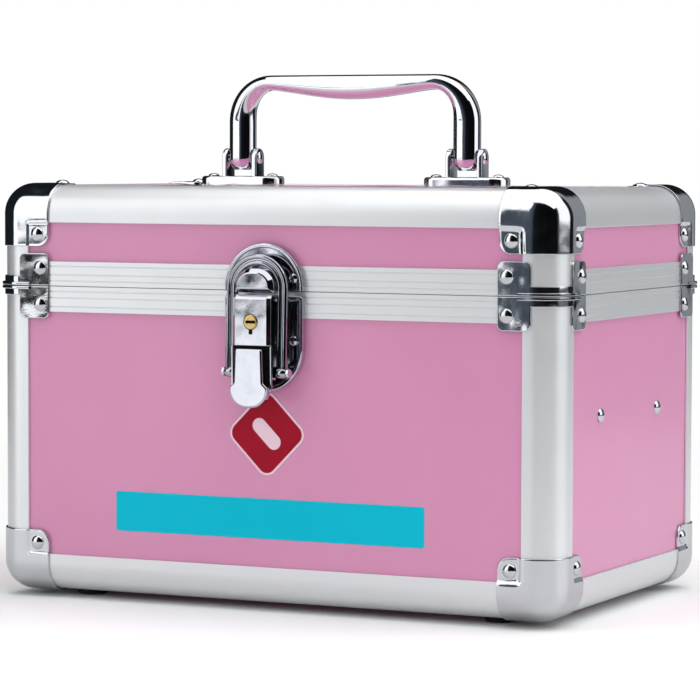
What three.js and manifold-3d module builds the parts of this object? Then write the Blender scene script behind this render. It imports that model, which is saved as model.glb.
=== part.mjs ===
// A lockable medicine case: laminated panels in an aluminium frame, chromed corners,
// a draw latch with a key barrel, a folding handle and a lift-out tray.
// Millimetres, +Z up. The feet stand on z = 0 and the origin is under the middle of the outline.

import * as THREE from 'three';
import { mergeVertices } from 'three/addons/utils/BufferGeometryUtils.js';
import Module from 'manifold-3d';

const wasm = await Module();
wasm.setup();

// Driving dimensions of the case
const caseWidth = 255; // left to right over the frame
const caseDepth = 162; // front to back over the frame
const caseHeight = 170; // over the frame, without the feet
const splitGap = 0.3; // shut line between base and lid
const footHeight = 3; // table up to the underside of the frame
const capReach = 25.6; // corner of the frame to the end of each leg of a corner cap
const padHeight = 13.5; // height of a rim bracket
const capClearance = 2.9; // corner cap to rim bracket on the lid
const lidHeight = capReach + capClearance + padHeight;
const splitHeight = caseHeight - lidHeight; // underside of the frame up to the shut line

// Clearances
const seatGap = 0.05; // pieces riveted or glued face to face
const wrapGap = 0.1; // pressed steel wrapped round the frame
const slideGap = 0.15; // sawn ends and slotted pieces
const pinPlay = 0.1; // a pin in its hole, on the radius
const loosePlay = 0.2; // the same for the loop, the key barrel and rivets through board
const swingGap = 0.35; // a turning piece beside a fixed one
const overrun = 3; // how far a cutting tool runs past the piece

// Frame extrusion, seen at its end
const edgeRadius = 12; // quarter-round outer edge
const flangeWidth = 15.6; // visible flange on each face
const skin = 0.9; // outer flange, which the panel tucks behind
const panelThickness = 4;
const innerWall = 1; // inner flange
const slotReach = 9; // outer plane to the bottom of the slot
const slotWidth = panelThickness + 2 * wrapGap;
const frameDepth = skin + slotWidth + innerWall;
const panelDepth = skin + wrapGap; // outer plane to the panel's face
const panelInset = slotReach + slideGap;

// Outer planes and levels
const xOut = caseWidth / 2;
const yOut = caseDepth / 2;
const zLow = footHeight;
const zTop = zLow + caseHeight;
const zSplit = zLow + splitHeight;
const zBaseTop = zSplit - splitGap / 2;
const zLidLow = zSplit + splitGap / 2;

// Facets
const arcSteps = 4; // flats in a quarter round
const rodSides = 12;
const rivetSides = 8;
const smallArcSteps = 2; // flats in the quarter round of a small corner

// Finishes
const finish = (color, metalness, roughness) => ({ color, metalness, roughness });
const pinkLaminate = finish(0xce8fb1, 0, 0.25);
const satinAluminium = finish(0xc9ccd1, 1, 0.35);
const chromedSteel = finish(0xdfe2e6, 1, 0.08);
const brass = finish(0xc9a050, 1, 0.2);
const blackRubber = finish(0x1c1c1e, 0, 0.8);
const whitePlastic = finish(0xf1f1ef, 0, 0.4);

// Solids from three.js geometry

function solidOf(geometry) {
  const bare = geometry.clone();
  for (const name of Object.keys(bare.attributes)) if (name !== 'position') bare.deleteAttribute(name);
  const merged = mergeVertices(bare);
  const vertProperties = new Float32Array(merged.attributes.position.array);
  const triVerts = new Uint32Array(merged.index.array);
  return new wasm.Manifold(new wasm.Mesh({ numProp: 3, vertProperties, triVerts }));
}

function geometryOf(solid) {
  const mesh = solid.getMesh();
  const geometry = new THREE.BufferGeometry();
  geometry.setAttribute('position', new THREE.BufferAttribute(new Float32Array(mesh.vertProperties), 3));
  geometry.setIndex(new THREE.BufferAttribute(new Uint32Array(mesh.triVerts), 1));
  geometry.computeVertexNormals();
  return geometry;
}

const join = (...solids) => solids.reduce((sum, solid) => sum.add(solid));
const cut = (solid, ...tools) => tools.reduce((left, tool) => left.subtract(tool), solid);
const common = (...solids) => solids.reduce((shared, solid) => shared.intersect(solid));

// A box between two corners.
function block([x0, y0, z0], [x1, y1, z1]) {
  const box = new THREE.BoxGeometry(x1 - x0, y1 - y0, z1 - z0);
  box.translate((x0 + x1) / 2, (y0 + y1) / 2, (z0 + z1) / 2);
  return solidOf(box);
}

// Points on an arc, both ends included, angles in quarter turns.
function arc(a, b, radius, fromQuarter, toQuarter, steps = arcSteps) {
  return Array.from({ length: steps + 1 }, (_, i) => {
    const angle = (Math.PI / 2) * (fromQuarter + ((toQuarter - fromQuarter) * i) / steps);
    return [a + radius * Math.cos(angle), b + radius * Math.sin(angle)];
  });
}

const circle = (a, b, radius, sides = rodSides) => arc(a, b, radius, 0, 4, sides).slice(0, sides);

// A rectangle whose four corners have their own radii: low-low, high-low, high-high, low-high.
function roundedOutline([a0, b0], [a1, b1], radii, steps = arcSteps) {
  const centres = [[a0, b0, 1, 1], [a1, b0, -1, 1], [a1, b1, -1, -1], [a0, b1, 1, -1]];
  return centres.flatMap(([a, b, inA, inB], i) => {
    const r = radii[i];
    return r > 0 ? arc(a + inA * r, b + inB * r, r, i + 2, i + 3, steps) : [[a, b]];
  });
}

// An outline pushed along an axis: (y, z) along x, (x, z) along y, (x, y) along z.
function prism(axis, points, from, to) {
  const flat = axis === 'y' ? points.map(([a, b]) => [b, a]) : points;
  const shape = new THREE.Shape(flat.map(([a, b]) => new THREE.Vector2(a, b)));
  const geometry = new THREE.ExtrudeGeometry(shape, { depth: to - from, bevelEnabled: false, steps: 1 });
  geometry.translate(0, 0, from);
  const x = new THREE.Vector3(1, 0, 0);
  const y = new THREE.Vector3(0, 1, 0);
  const z = new THREE.Vector3(0, 0, 1);
  const turns = { x: [y, z, x], y: [z, x, y], z: [x, y, z] };
  return solidOf(geometry.applyMatrix4(new THREE.Matrix4().makeBasis(...turns[axis])));
}

// Rings of equally many points skinned into one closed solid, flat at both ends.
function skinned(rings) {
  const count = rings[0].length;
  const points = rings.flat();
  const middle = (ring) => ring.reduce((sum, p) => sum.map((v, i) => v + p[i] / count), [0, 0, 0]);
  points.push(middle(rings[0]), middle(rings.at(-1)));
  const first = points.length - 2;
  const last = points.length - 1;
  const faces = [];
  for (let i = 0; i < count; i++) {
    const j = (i + 1) % count;
    faces.push(first, j, i);
    for (let k = 0; k + 1 < rings.length; k++) {
      const low = k * count;
      const high = low + count;
      faces.push(low + i, low + j, high + j, low + i, high + j, high + i);
    }
    const end = (rings.length - 1) * count;
    faces.push(last, end + i, end + j);
  }
  const geometry = new THREE.BufferGeometry();
  geometry.setAttribute('position', new THREE.Float32BufferAttribute(points.flat(), 3));
  geometry.setIndex(faces);
  return solidOf(geometry);
}

// A box with every edge rounded alike: rings of latitude, each stretched over the four corners.
function roundedBlock([x0, y0, z0], [x1, y1, z1], radius) {
  const rings = [];
  for (const top of [false, true]) {
    for (let k = 0; k <= arcSteps; k++) {
      const quarter = (top ? k : k - arcSteps) / arcSteps;
      const angle = (Math.PI / 2) * quarter;
      const z = (top ? z1 - radius : z0 + radius) + radius * Math.sin(angle);
      const shrink = Math.min(radius * (1 - Math.cos(angle)), radius);
      const corner = radius - shrink;
      const outline = (low, high) => roundedRing(low, high, Math.max(corner, 0), z);
      rings.push(outline([x0 + shrink, y0 + shrink], [x1 - shrink, y1 - shrink]));
    }
  }
  return skinned(rings);
}

function roundedRing([x0, y0], [x1, y1], radius, z) {
  const centres = [[x0 + radius, y0 + radius], [x1 - radius, y0 + radius]];
  centres.push([x1 - radius, y1 - radius], [x0 + radius, y1 - radius]);
  return centres.flatMap(([x, y], i) => arc(x, y, radius, i + 2, i + 3).map(([a, b]) => [a, b, z]));
}

const rivetSinkShare = 0.2; // how far a head is let into its piece, as a share of its height

// A domed rivet head on a face: base centre, outward direction, head radius and height.
function rivetHead(centre, outward, radius, height, sink = height * rivetSinkShare) {
  const levelShares = [0, 0.5, 0.85];
  const along = new THREE.Vector3(...outward).normalize();
  const turn = new THREE.Quaternion().setFromUnitVectors(new THREE.Vector3(0, 0, 1), along);
  const rings = levelShares.map((share) => {
    const r = radius * Math.sqrt(1 - share * share);
    return circle(0, 0, r, rivetSides).map(([a, b]) => [a, b, height * share]);
  });
  rings.unshift(rings[0].map(([a, b]) => [a, b, -sink]));
  const place = new THREE.Vector3(...centre);
  const set = (p) => new THREE.Vector3(...p).applyQuaternion(turn).add(place).toArray();
  return skinned(rings.map((ring) => ring.map(set)));
}

// The assembly and its meshes

const medicineCase = new THREE.Group();

function add(name, shape, look, parent = medicineCase) {
  const geometry = shape.isBufferGeometry ? shape : geometryOf(shape);
  const mesh = new THREE.Mesh(geometry, new THREE.MeshStandardMaterial(look));
  mesh.name = name;
  parent.add(mesh);
  return mesh;
}

// A piece drawn once with its corner at the origin, set at a corner of the case; a mirrored copy
// gets its triangles turned so that they still face outwards.
function atCorner(geometry, [x, y, z], [signX, signY, signZ]) {
  const copy = geometry.clone();
  copy.applyMatrix4(new THREE.Matrix4().makeScale(-signX, -signY, -signZ).setPosition(x, y, z));
  if (signX * signY * signZ > 0) {
    const index = copy.index.array;
    for (let i = 0; i < index.length; i += 3) [index[i + 1], index[i + 2]] = [index[i + 2], index[i + 1]];
  }
  return copy;
}

const corners = [
  { place: 'front_left', x: -1, y: -1 },
  { place: 'front_right', x: 1, y: -1 },
  { place: 'back_left', x: -1, y: 1 },
  { place: 'back_right', x: 1, y: 1 },
];

// Frame: quarter-round extrusions on every edge, with slots that hold the panels.
// The whole frame is drawn at once and parted at the shut line.

const low = [-xOut, -yOut, zLow];
const high = [xOut, yOut, zTop];
const insetBlock = (dx, dy, dz) =>
  block([-xOut + dx, -yOut + dy, zLow + dz], [xOut - dx, yOut - dy, zTop - dz]);

const closedFrame = cut(
  roundedBlock(low, high, edgeRadius),
  insetBlock(frameDepth, frameDepth, frameDepth),
  insetBlock(-overrun, flangeWidth, flangeWidth),
  insetBlock(flangeWidth, -overrun, flangeWidth),
  insetBlock(flangeWidth, flangeWidth, -overrun),
);

function panelSlots() {
  const s0 = skin;
  const s1 = skin + slotWidth;
  const r = slotReach;
  const slot = (from, to) => {
    const lows = from.map((v, i) => low[i] + v);
    const highs = to.map((v, i) => (v < 0 ? high[i] + v : low[i] + v));
    return block(lows, highs);
  };
  const across = { x: caseWidth, y: caseDepth, z: caseHeight };
  return [
    slot([r, s0, r], [-r, s1, -r]),
    slot([r, across.y - s1, r], [-r, across.y - s0, -r]),
    slot([s0, r, r], [s1, -r, -r]),
    slot([across.x - s1, r, r], [across.x - s0, -r, -r]),
    slot([r, r, s0], [-r, -r, s1]),
    slot([r, r, across.z - s1], [-r, -r, across.z - s0]),
  ];
}

const slottedFrame = cut(closedFrame, ...panelSlots());
const farLow = low.map((v) => v - overrun);
const farHigh = high.map((v) => v + overrun);
add('base_frame', common(slottedFrame, block(farLow, [farHigh[0], farHigh[1], zBaseTop])), satinAluminium);
add('lid_frame', common(slottedFrame, block([farLow[0], farLow[1], zLidLow], farHigh)), satinAluminium);

// Rims: straight extrusions along the shut line, between the corner posts.
// The base rim carries a tongue that enters the groove of the lid rim.

const baseRimHeight = 10.6;
const lidRimHeight = 10.1;
const rimWeb = 3.85; // shut face to the bottom of the panel slot
const rimInnerShort = 1; // the inner flange stops short of the outer one
const rimGrooveShares = [0.2, 0.45, 0.8]; // fine grooves, as shares of the rim's height
const rimGrooveDepth = 0.35;
const rimGrooveWidth = 0.5;
const tongueHeight = 2;
const tongueInset = 2.8; // outer plane to the tongue
const tongueWidth = 1.2;
const tonguePlay = 0.5;

function rimOutline(height, isLid) {
  const outer = rimGrooveShares.flatMap((share) => {
    const h = height * share;
    const w = rimGrooveWidth / 2;
    return [[0, h - w], [rimGrooveDepth, h - w], [rimGrooveDepth, h + w], [0, h + w]];
  });
  const slotEnd = skin + slotWidth;
  const innerHeight = height - rimInnerShort;
  const wide = isLid ? tonguePlay : 0;
  const far = tongueInset + tongueWidth + wide;
  const near = tongueInset - wide;
  const reach = isLid ? tongueHeight + tonguePlay - splitGap : -tongueHeight;
  return [
    [0, 0], ...outer, [0, height], [skin, height], [skin, rimWeb], [slotEnd, rimWeb],
    [slotEnd, innerHeight], [frameDepth, innerHeight], [frameDepth, 0],
    [far, 0], [far, reach], [near, reach], [near, 0],
  ];
}

function addRims(half, height, isLid) {
  const outline = rimOutline(height, isLid);
  const z = (h) => (isLid ? zLidLow + h : zBaseTop - h);
  const endX = xOut - flangeWidth - slideGap;
  const endY = yOut - flangeWidth - slideGap;
  for (const [side, sign] of [['front', -1], ['back', 1]]) {
    const points = outline.map(([u, h]) => [sign * (yOut - u), z(h)]);
    add(`${half}_rim_${side}`, prism('x', points, -endX, endX), satinAluminium);
  }
  for (const [side, sign] of [['left', -1], ['right', 1]]) {
    const points = outline.map(([u, h]) => [sign * (xOut - u), z(h)]);
    add(`${half}_rim_${side}`, prism('y', points, -endY, endY), satinAluminium);
  }
}

addRims('base', baseRimHeight, false);
addRims('lid', lidRimHeight, true);

// Tray rails: aluminium angles inside the two sides, each held by two rivets through the panel.

const railDrop = 45.5; // shut line down to the face that carries the tray
const railFrontClearance = 4.4; // end of a rail to the post
const railBackClearance = 10.4;
const railLegDown = 9;
const railLegIn = 9;
const railThickness = 1.5;
const railRivetDrop = 3; // rivet below the carrying face
const railRivetInset = 25.5; // rivet to the end of the rail
const railRivetRadius = 2.4;
const railRivetHeight = 1;
const railShankRadius = 1.5;

const railTop = zSplit - railDrop;
const railFrom = -yOut + flangeWidth + railFrontClearance;
const railTo = yOut - flangeWidth - railBackClearance;
const railRivetYs = [railFrom + railRivetInset, railTo - railRivetInset];
const railRivetZ = railTop - railThickness - railRivetDrop;
const panelFaceX = xOut - panelDepth;
const panelInnerX = panelFaceX - panelThickness;

function trayRail(sign) {
  const wall = panelInnerX - seatGap;
  const points = [
    [wall, railTop], [wall, railTop - railLegDown], [wall - railThickness, railTop - railLegDown],
    [wall - railThickness, railTop - railThickness], [wall - railLegIn, railTop - railThickness],
    [wall - railLegIn, railTop],
  ];
  const angle = prism('y', points.map(([x, z]) => [sign * x, z]), railFrom, railTo);
  const shanks = railRivetYs.map((y) => {
    const ends = [sign * (wall - railThickness / 2), sign * (panelFaceX + railRivetHeight / 2)];
    return prism('x', circle(y, railRivetZ, railShankRadius), Math.min(...ends), Math.max(...ends));
  });
  const heads = railRivetYs.map((y) => rivetHead([sign * (panelFaceX + seatGap), y, railRivetZ],
    [sign, 0, 0], railRivetRadius, railRivetHeight, 0));
  return join(angle, ...shanks, ...heads);
}

add('tray_rail_left', trayRail(-1), satinAluminium);
add('tray_rail_right', trayRail(1), satinAluminium);

// Panels: laminated board, tucked into the slots of frame and rims.

function addPanels(half, zFrom, zTo, withRivetHoles) {
  const face = yOut - panelDepth;
  for (const [side, sign] of [['front', -1], ['back', 1]]) {
    const ys = [sign * face, sign * (face - panelThickness)].sort((a, b) => a - b);
    const x = xOut - panelInset;
    add(`${half}_${side}_panel`, block([-x, ys[0], zFrom], [x, ys[1], zTo]), pinkLaminate);
  }
  for (const [side, sign] of [['left', -1], ['right', 1]]) {
    const xs = [sign * panelFaceX, sign * panelInnerX].sort((a, b) => a - b);
    const y = yOut - panelInset;
    let board = block([xs[0], -y, zFrom], [xs[1], y, zTo]);
    if (withRivetHoles) {
      const hole = (at) => prism('x', circle(at, railRivetZ, railShankRadius + loosePlay),
        xs[0] - overrun, xs[1] + overrun);
      board = cut(board, ...railRivetYs.map(hole));
    }
    add(`${half}_${side}_panel`, board, pinkLaminate);
  }
}

addPanels('base', zLow + panelInset, zBaseTop - rimWeb - slideGap, true);
addPanels('lid', zLidLow + rimWeb + slideGap, zTop - panelInset, false);

function flatPanel(outerZ, sign) {
  const x = xOut - panelInset;
  const y = yOut - panelInset;
  const zs = [outerZ, outerZ + sign * panelThickness].sort((a, b) => a - b);
  return block([-x, -y, zs[0]], [x, y, zs[1]]);
}

const floorUnderside = zLow + panelDepth;
const lidPanelTop = zTop - panelDepth;
add('base_floor_panel', flatPanel(floorUnderside, 1), pinkLaminate);
add('lid_top_panel', flatPanel(lidPanelTop, -1), pinkLaminate);

// Corner caps: pressed and chromed steel over the ends of three extrusions, with a lobe set down
// onto each panel and a rivet through it. Drawn with the corner of the frame at the origin.

const capSheet = 0.75;
const capCornerRadius = 5; // far corner of each lobe
const capRivetInset = 20.3;
const rivetRadius = 3;
const rivetHeight = 1.7;

const capProud = wrapGap + capSheet;
const lobeStart = flangeWidth + slideGap;
const lobeFace = panelDepth - wrapGap - capSheet; // outer plane to the lobe's outer face
const lobeBack = panelDepth - wrapGap;

function cornerCap() {
  const far = 2 * capReach;
  const shellOf = (offset) => roundedBlock([-offset, -offset, -offset], [far, far, far], edgeRadius + offset);
  const square = roundedOutline([-capReach, -capReach], [capReach, capReach],
    [0, 0, capCornerRadius, 0]);
  const lobes = ['x', 'y', 'z'].map((axis) => {
    const slab = (start, near, deep) => {
      const from = { x: [near, start, start], y: [start, near, start], z: [start, start, near] };
      const to = { x: [deep, far, far], y: [far, deep, far], z: [far, far, deep] };
      return block(from[axis], to[axis]);
    };
    const dish = cut(slab(lobeStart, -capProud, lobeBack), slab(lobeStart + capSheet, -overrun, lobeFace));
    const opening = slab(lobeStart, -overrun, frameDepth);
    return { dish, opening };
  });
  const shell = cut(shellOf(capProud), shellOf(wrapGap), ...lobes.map((lobe) => lobe.opening));
  const whole = join(shell, ...lobes.map((lobe) => lobe.dish));
  const trimmed = common(whole, ...['x', 'y', 'z'].map((axis) => prism(axis, square, -far, far)));
  const r = capRivetInset;
  const heads = [
    rivetHead([lobeFace, r, r], [-1, 0, 0], rivetRadius, rivetHeight),
    rivetHead([r, lobeFace, r], [0, -1, 0], rivetRadius, rivetHeight),
    rivetHead([r, r, lobeFace], [0, 0, -1], rivetRadius, rivetHeight),
  ];
  return geometryOf(join(trimmed, ...heads));
}

const capGeometry = cornerCap();
for (const { place, x, y } of corners) {
  add(`base_cap_${place}`, atCorner(capGeometry, [x * xOut, y * yOut, zLow], [x, y, -1]), chromedSteel);
  add(`lid_cap_${place}`, atCorner(capGeometry, [x * xOut, y * yOut, zTop], [x, y, 1]), chromedSteel);
}

// Rim brackets: a riveted pad on each face, joined round the post by a collar and a turned-out lip.
// Drawn with the post's corner at the origin and the shut face at z = 0.

const padFrom = 11.8; // corner to the near edge of a pad
const padTo = 26;
const padCornerRadius = 2.5;
const padRivetInset = 21.9;
const padRivetHeight = 7.5;
const collarHeight = 3.9;
const lipHeight = 1.3;
const lipProud = 1.9;
const lipReach = 17;

function rimBracket() {
  const column = (offset, reach) => [
    ...arc(edgeRadius, edgeRadius, edgeRadius + offset, 3, 2), [-offset, reach], [reach, reach], [reach, -offset],
  ];
  const ring = (offset, reach, height) => cut(prism('z', column(offset, reach), 0, height),
    prism('z', column(wrapGap, reach + overrun), -overrun, height + overrun));
  const pad = roundedOutline([padFrom, 0], [padTo, padHeight], [0, 0, padCornerRadius, padCornerRadius],
    smallArcSteps);
  const pads = ['x', 'y'].map((axis) => prism(axis, pad, -capProud, -wrapGap));
  const heads = [
    rivetHead([-capProud, padRivetInset, padRivetHeight], [-1, 0, 0], rivetRadius, rivetHeight),
    rivetHead([padRivetInset, -capProud, padRivetHeight], [0, -1, 0], rivetRadius, rivetHeight),
  ];
  const collar = ring(capProud, padTo, collarHeight);
  return geometryOf(join(collar, ring(lipProud, lipReach, lipHeight), ...pads, ...heads));
}

const bracketGeometry = rimBracket();
for (const { place, x, y } of corners) {
  const at = (z, signZ) => atCorner(bracketGeometry, [x * xOut, y * yOut, z], [x, y, signZ]);
  add(`base_bracket_${place}`, at(zBaseTop, 1), chromedSteel);
  add(`lid_bracket_${place}`, at(zLidLow, -1), chromedSteel);
}

// Feet: moulded rubber studs under the floor panel.

const footRadius = 6.2;
const footTaper = 0.8;
const footInsetX = 33.5;
const footInsetY = 22.5;

for (const { place, x, y } of corners) {
  const cx = x * (xOut - footInsetX);
  const cy = y * (yOut - footInsetY);
  const rings = [[footRadius - footTaper, 0], [footRadius, footTaper], [footRadius, floorUnderside - seatGap]];
  const foot = skinned(rings.map(([r, z]) => circle(cx, cy, r).map(([a, b]) => [a, b, z])));
  add(`foot_${place}`, foot, blackRubber);
}

// Handle: a chromed cast bail whose arms turn on a pin in each mount.

const handleCentre = 52.8; // middle of the case to the middle of an arm
const pivotRise = 11.7; // top of the frame up to the pivot
const handleRise = 47; // top of the frame up to the top of the grip
const armWidth = 11.4;
const armDepth = 10;
const gripEndThickness = 6.4; // beside the corners
const gripThickness = 10.4; // at the middle of the grip
const gripDepth = 12.5;
const handleCornerRadius = 20;
const armFoot = 5.2; // pivot down to the end of the arm
const handleSides = 12;
const gripSteps = 3;
const pivotPinRadius = 1.6;

const zPivot = zTop + pivotRise;
const smooth = (t) => t * t * (3 - 2 * t);
const mix = (a, b, t) => a + (b - a) * t;

// Stations run up the left arm, round the corner and along the grip. Each gives a point on the
// outer edge, the direction towards the inside of the bail, the thickness and the depth.
function handleStations() {
  const outerX = handleCentre + armWidth / 2;
  const top = zTop + handleRise;
  const r = handleCornerRadius;
  const stations = [];
  const narrowFootShare = 0.8;
  const armLevels = [[zPivot - armFoot, narrowFootShare], [zPivot, 1], [top - r, 1]];
  for (const [z, share] of armLevels) {
    const spare = (armWidth * (1 - share)) / 2;
    stations.push({ x: -outerX + spare, z, inX: 1, inZ: 0, thick: armWidth * share, deep: armDepth * share });
  }
  for (let i = 1; i <= arcSteps; i++) {
    const t = i / arcSteps;
    const angle = (Math.PI / 2) * t;
    stations.push({
      x: -outerX + r - r * Math.cos(angle), z: top - r + r * Math.sin(angle),
      inX: Math.cos(angle), inZ: -Math.sin(angle),
      thick: mix(armWidth, gripEndThickness, smooth(t)), deep: mix(armDepth, gripDepth, t),
    });
  }
  for (let i = 1; i <= gripSteps; i++) {
    const t = i / gripSteps;
    const thick = mix(gripEndThickness, gripThickness, Math.sin((Math.PI / 2) * t));
    stations.push({ x: mix(-outerX + r, 0, t), z: top, inX: 0, inZ: -1, thick, deep: gripDepth });
  }
  const mirrored = stations.slice(0, -1).reverse().map((s) => ({ ...s, x: -s.x, inX: -s.inX }));
  return [...stations, ...mirrored];
}

function handleBail() {
  const rings = handleStations().map(({ x, z, inX, inZ, thick, deep }) =>
    circle(0, 0, 1, handleSides).map(([c, s]) => {
      const inward = (thick * (1 + c)) / 2;
      return [x + inX * inward, (deep * s) / 2, z + inZ * inward];
    }));
  const bail = skinned(rings);
  const hole = prism('x', circle(0, zPivot, pivotPinRadius + pinPlay), -xOut, xOut);
  return cut(bail, hole);
}

add('handle', handleBail(), chromedSteel);

// Handle mounts: a chromed base with two ears each, riveted to the lid's top panel.

const mountLength = 37.5;
const mountWidth = 14;
const mountHeight = 4.8; // above the top panel
const mountEndRadius = 6;
const mountBevel = 1.2;
const earThickness = 2.2;
const earRadius = 4;
const mountRivetInset = 4.6;
const mountRivetRadius = 2.4;
const mountRivetHeight = 1.2;
const pinHeadRadius = 2.6;
const pinHeadHeight = 0.9;

const earInner = armWidth / 2 + swingGap;
const earOuter = earInner + earThickness;
const mountLow = lidPanelTop + seatGap;
const mountTop = lidPanelTop + mountHeight;

function handleMount(cx) {
  const l = mountLength / 2;
  const w = mountWidth / 2;
  const ring = (inset, z) => roundedOutline([cx - l + inset, -w + inset], [cx + l - inset, w - inset],
    Array(4).fill(mountEndRadius - inset)).map(([x, y]) => [x, y, z]);
  const plate = skinned([ring(0, mountLow), ring(0, mountTop - mountBevel), ring(mountBevel, mountTop)]);
  const earOutline = [
    [-earRadius, mountTop - mountBevel], [earRadius, mountTop - mountBevel],
    ...arc(0, zPivot, earRadius, 0, 2, 2 * arcSteps),
  ];
  const ears = [-earOuter, earInner].map((x) => prism('x', earOutline, cx + x, cx + x + earThickness));
  const hole = prism('x', circle(0, zPivot, pivotPinRadius + pinPlay), cx - l, cx + l);
  const room = prism('x', circle(0, zPivot, armFoot + swingGap), cx - earInner, cx + earInner);
  const heads = [-1, 1].map((side) => rivetHead([cx + side * (l - mountRivetInset), 0, mountTop], [0, 0, 1],
    mountRivetRadius, mountRivetHeight));
  return join(cut(join(plate, ...ears), hole, room), ...heads);
}

function handlePin(cx) {
  const reach = earOuter + seatGap;
  const rod = prism('x', circle(0, zPivot, pivotPinRadius), cx - reach, cx + reach);
  const heads = [-1, 1].map((side) => rivetHead([cx + side * reach, 0, zPivot], [side, 0, 0],
    pinHeadRadius, pinHeadHeight, 0));
  return join(rod, ...heads);
}

for (const [side, sign] of [['left', -1], ['right', 1]]) {
  add(`handle_mount_${side}`, handleMount(sign * handleCentre), chromedSteel);
  add(`handle_pin_${side}`, handlePin(sign * handleCentre), chromedSteel);
}

// Latch, measured outward from the front of the frame and up from the shut line.

const out = (s) => -(yOut + s);
const up = (h) => zSplit + h;
const sideView = (points) => points.map(([s, h]) => [out(s), up(h)]);

const latchWidth = 35;
const latchSheet = 1.2;
const latchRim = 2.7; // raised edge above the frame
const latchRimWidth = 1.8;
const leverPivot = { s: 9, h: -8.2 };
const loopPivot = { s: 8.5, h: -32.5 };
const leverPinRadius = 1.25;
const loopPinRadius = 1.2;
const barrelHeight = -12; // key barrel below the shut line

// Keeper on the lid: a half-round plate with a raised edge and the hook that the loop pulls on.

const keeperLow = 0.3;
const keeperSide = 1.8; // height of the straight sides
const hookCentre = 1.4;
const hookLow = -0.3;
const hookNeckWidth = 16.8;
const hookNeckRise = 8.8;
const hookHeadWidth = 17.8;
const hookHeadRise = 9.35; // the head stands over the loop's inner edge
const hookHeadStart = 9.6;
const hookHeadFull = 10.4;
const hookFaceStandoff = 12.3;
const hookBevel = 1.6;
const latchRivetSpread = 13.2;
const latchRivetRadius = 2;
const latchRivetHeight = 1.1;
const latchFar = 70; // beyond either end of the latch
const keeperRivetHeight = 5.3;

function rimmedPlate(outline, inner) {
  const plate = prism('y', outline, out(latchRim), out(seatGap));
  return cut(plate, prism('y', inner, out(latchRim + overrun), out(latchSheet)));
}

function keeperOutline(inset) {
  const r = latchWidth / 2 - inset;
  const base = up(keeperLow);
  const centre = up(keeperSide);
  return [[-r, base - (inset > 0 ? overrun : 0)], [r, base - (inset > 0 ? overrun : 0)],
    ...arc(0, centre, r, 0, 2, 4 * arcSteps)];
}

function hookRing(halfWidth, rise, s) {
  const upper = arc(0, 0, 1, 0, 2, 2 * arcSteps).map(([a, b]) => [a * halfWidth, up(hookCentre) + b * rise]);
  return [[halfWidth, up(hookLow)], ...upper, [-halfWidth, up(hookLow)]].map(([x, z]) => [x, out(s), z]);
}

function keeper() {
  const plate = rimmedPlate(keeperOutline(0), keeperOutline(latchRimWidth));
  const neck = skinned([hookRing(hookNeckWidth / 2, hookNeckRise, latchSheet / 2),
    hookRing(hookNeckWidth / 2, hookNeckRise, hookHeadFull)]);
  const w = hookHeadWidth / 2;
  const head = skinned([hookRing(w, hookHeadRise, hookHeadStart), hookRing(w, hookHeadRise, hookHeadFull),
    hookRing(w - hookBevel, hookHeadRise - hookBevel, hookFaceStandoff)]);
  const heads = [-1, 1].map((side) => rivetHead([side * latchRivetSpread, out(latchSheet), up(keeperRivetHeight)],
    [0, -1, 0], latchRivetRadius, latchRivetHeight));
  return join(plate, neck, head, ...heads);
}

add('latch_keeper', keeper(), chromedSteel);

// Latch base on the case: a plate with a raised edge, two ears with the lever's pin riveted in,
// and a hooked lug that the key barrel's cam turns under.

const baseTopHeight = -1.7;
const baseRoundCentre = -26.5;
const latchEarInner = 4.7;
const latchEarThickness = 1.2;
const latchEarRadius = 2.6;
const latchEarDrop = 5.2; // pivot down to the foot of an ear
const leverHalfWidth = 7.5;
const leverSheet = 1.2;
const baseRivetHeight = -19.8;
const lowerRivetHeight = -38.5;
const camStandoff = 3.8;
const camSheet = 1.2;
const camWidth = 2.8;
const camReach = 4.3;
const lugLeft = 2.9;
const lugWidth = 1.5;
const lugSheet = 1.2;

function latchOutline(inset) {
  const r = latchWidth / 2 - inset;
  const top = up(baseTopHeight) - inset;
  return [[r, top], [-r, top], ...arc(0, up(baseRoundCentre), r, 2, 4, 4 * arcSteps)];
}

function latchBase() {
  const plate = rimmedPlate(latchOutline(0), latchOutline(latchRimWidth));
  const foot = latchSheet / 2;
  const { s, h } = leverPivot;
  const r = latchEarRadius;
  const earSide = sideView([[foot, h - latchEarDrop], [foot, h + r], ...arc(s, h, r, 1, -1, 2 * arcSteps)]);
  const ears = [-latchEarInner - latchEarThickness, latchEarInner].map((x) =>
    prism('x', earSide, x, x + latchEarThickness));
  const pin = prism('x', circle(out(s), up(h), leverPinRadius), -leverHalfWidth, leverHalfWidth);
  const camTop = camStandoff + camSheet + swingGap;
  const legLow = barrelHeight + camWidth / 2 + swingGap;
  const lugSide = sideView([[foot, legLow + lugSheet], [foot, legLow], [camTop, legLow],
    [camTop, barrelHeight - camWidth / 2], [camTop + lugSheet, barrelHeight - camWidth / 2],
    [camTop + lugSheet, legLow + lugSheet]]);
  const lug = prism('x', lugSide, lugLeft, lugLeft + lugWidth);
  const rivetPlaces = [[-latchRivetSpread, baseRivetHeight], [latchRivetSpread, baseRivetHeight],
    [0, lowerRivetHeight]];
  const heads = rivetPlaces.map(([x, height]) => rivetHead([x, out(latchSheet), up(height)], [0, -1, 0],
    latchRivetRadius, latchRivetHeight));
  return join(plate, ...ears, pin, lug, ...heads);
}

add('latch_base', latchBase(), chromedSteel);

// Lever: a pressed channel with the lock housing above and the finger tab below.

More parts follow.
